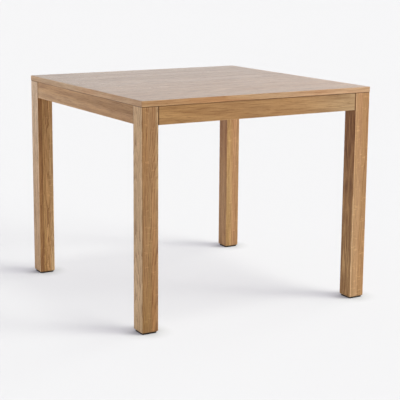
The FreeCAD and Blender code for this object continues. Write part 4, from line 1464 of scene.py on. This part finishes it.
@dataclass
class Studio:
    """A pale floor, soft light and the camera."""

    frame_pixels: float = 400.0
    sensor_width: float = 36.0
    azimuth: float = -29.68
    elevation: float = 10.51
    roll: float = 0.26
    distance: float = 4.1948
    focal_pixels: float = 1138.4
    target_across: float = -0.0483
    target_height: float = 0.4306
    centre_x: float = 180.0
    centre_y: float = 170.0
    far_clip: float = 200.0
    floor_size: float = 120.0
    floor_albedo: float = 0.12
    floor_mottle: Noise = Noise(3.0, 3.0)
    mottle_share: float = 0.05
    mottle_tone: float = 0.9
    floor_glow: float = 0.482
    glow_reach: float = 0.06
    glow_samples: int = 16
    glow_tint: Colour = (0.99, 0.966, 1.056)
    pale: float = 0.923
    room_front: float = 0.62
    room_rear: float = 0.95
    ceiling: float = 0.65
    sun_tint: Colour = (1.01, 1.036, 0.945)
    floor_suns: tuple[SoftSun, ...] = (
        SoftSun("floor_sun_high", 2.1, 50.0, 76.0, 14.0),
        SoftSun("floor_sun_low", 4.8, 52.0, 20.0, 20.0),
        SoftSun("floor_sun_level", 31.0, 46.0, 4.0, 60.0),
        SoftSun("floor_sun_side", 8.0, 95.0, 10.0, 40.0),
    )
    sun_distance: float = 4.0
    sun_target: float = 0.4
    key_azimuth: float = 62.0
    key_elevation: float = 28.0
    key_distance: float = 2.4
    key_target: float = 0.45
    panel_width: float = 1.2
    panel_height: float = 1.2
    panel_energy: float = 42.0

    def build_camera(self) -> None:
        """Place the camera by its direction, roll, distance and the point it looks at."""
        back, roll = direction(self.azimuth, self.elevation), math.radians(self.roll)
        level = (-back).cross(Vector((0.0, 0.0, 1.0))).normalized()
        upright = level.cross(-back)
        right = level * math.cos(roll) + upright * math.sin(roll)
        up = upright * math.cos(roll) - level * math.sin(roll)
        target = right * self.target_across + Vector((0.0, 0.0, self.target_height))
        data = bpy.data.cameras.new("studio_camera")
        data.sensor_width = self.sensor_width
        data.lens = self.focal_pixels / self.frame_pixels * self.sensor_width
        data.shift_x = (self.frame_pixels / 2 - self.centre_x) / self.frame_pixels
        data.shift_y = (self.centre_y - self.frame_pixels / 2) / self.frame_pixels
        data.clip_end = self.far_clip
        camera = bpy.data.objects.new("studio_camera", data)
        bpy.context.scene.collection.objects.link(camera)
        rotation = Matrix((right, up, back)).transposed()
        camera.matrix_world = Matrix.Translation(target + back * self.distance) @ rotation.to_4x4()
        bpy.context.scene.camera = camera

    def build_floor(self) -> None:
        """Lay a wide pale floor, which glows, less so near what stands on it.

        From below it is clear, so that the underside of the table can be seen.
        """
        bpy.ops.mesh.primitive_plane_add(size=self.floor_size, location=(0.0, 0.0, 0.0))
        floor = bpy.context.object
        floor.name = "studio_floor"
        material, graph, shader = start_material("pale_floor")
        mottle = graph.times(graph.noise(graph.here(), self.floor_mottle), self.mottle_share)
        base = graph.blend(mottle, (self.floor_albedo,) * 3,
                           (self.floor_albedo * self.mottle_tone,) * 3)
        glow = graph.fill(graph.node("AmbientOcclusion", samples=self.glow_samples),
                          Distance=self.glow_reach, Color=self.glow_tint)["Color"]
        behind = graph.node("NewGeometry").outputs["Backfacing"]
        graph.fill(shader, Base_Color=base, Roughness=0.9, Specular_IOR_Level=0.0,
                   Emission_Color=glow, Emission_Strength=self.floor_glow,
                   Alpha=graph.minus(1.0, behind))
        floor.data.materials.append(material)

    def build_room(self) -> None:
        """Light the room evenly, while what shows of it is as pale as the floor."""
        world = bpy.data.worlds.new("studio_room")
        world.use_nodes = True
        graph = Graph(world.node_tree)
        graph.tree.nodes.clear()
        way = graph.split(graph.node("TexCoord").outputs["Generated"])
        rear = graph.spread(way[1], -0.2, 0.8, self.room_front, self.room_rear)
        level = graph.times(rear, graph.spread(way[2], 0.2, 1.0, 1.0, self.ceiling))
        lit, shown = (graph.fill(graph.node("Background"), Color=PLAIN, Strength=strength)[0]
                      for strength in (level, self.pale))
        seen = graph.node("LightPath").outputs["Is Camera Ray"]
        mix = graph.node("MixShader", seen, lit, shown)
        graph.fill(graph.node("OutputWorld"), Surface=mix.outputs[0])
        bpy.context.scene.world = world

    def hang(self, name: str, kind: str, way: Vector, height: float, reach: Reach,
             **settings: object) -> Object:
        """Hang a light and turn it to the table.

        Args:
            name: The light's name.
            kind: SUN or AREA.
            way: Where it is, from the point that it faces, in metres.
            height: How high over the middle of the floor that point is.
            reach: What it falls on.
            settings: Properties to set on it.

        Returns:
            The light.
        """
        data = bpy.data.lights.new(name, kind)
        for setting, value in settings.items():
            setattr(data, setting, value)
        light = bpy.data.objects.new(name, data)
        bpy.context.scene.collection.objects.link(light)
        light.location = Vector((0.0, 0.0, height)) + way
        light.rotation_euler = way.to_track_quat("Z", "Y").to_euler()
        receivers = bpy.data.collections.new(name + "_receivers")
        receivers.objects.link(bpy.data.objects["studio_floor"])
        light.light_linking.receiver_collection = receivers
        receivers.collection_objects[0].light_linking.link_state = reach.value
        return light

    def build_keys(self) -> None:
        """Hang a soft panel on the right for the table, and the soft suns for the floor."""
        way = direction(self.key_azimuth, self.key_elevation) * self.key_distance
        key = self.hang("key_panel", "AREA", way, self.key_target, Reach.TABLE,
                        shape="RECTANGLE", size=self.panel_width, size_y=self.panel_height,
                        energy=self.panel_energy)
        key.visible_glossy = False
        for sun in self.floor_suns:
            self.hang(sun.name, "SUN", direction(sun.azimuth, sun.elevation) * self.sun_distance,
                      self.sun_target, Reach.FLOOR, energy=sun.energy, color=self.sun_tint,
                      angle=math.radians(sun.breadth))

    def build(self) -> None:
        """Build the camera, the floor and the light."""
        bpy.context.scene.view_settings.view_transform = "Standard"
        bpy.context.scene.view_settings.look = "None"
        self.build_camera()
        self.build_floor()
        self.build_room()
        self.build_keys()


def main() -> None:
    """Build the studio and dress every piece."""
    logging.basicConfig(level=logging.INFO, format="%(message)s")
    bpy.ops.object.select_all(action="DESELECT")
    Studio().build()
    effects = WoodEffects()
    for part in (OakTop(effects), OakAprons(effects), OakLegs(effects), HiddenWood(effects),
                 FootPads(), Hardware()):
        part.dress()


if __name__ == "__main__":
    main()
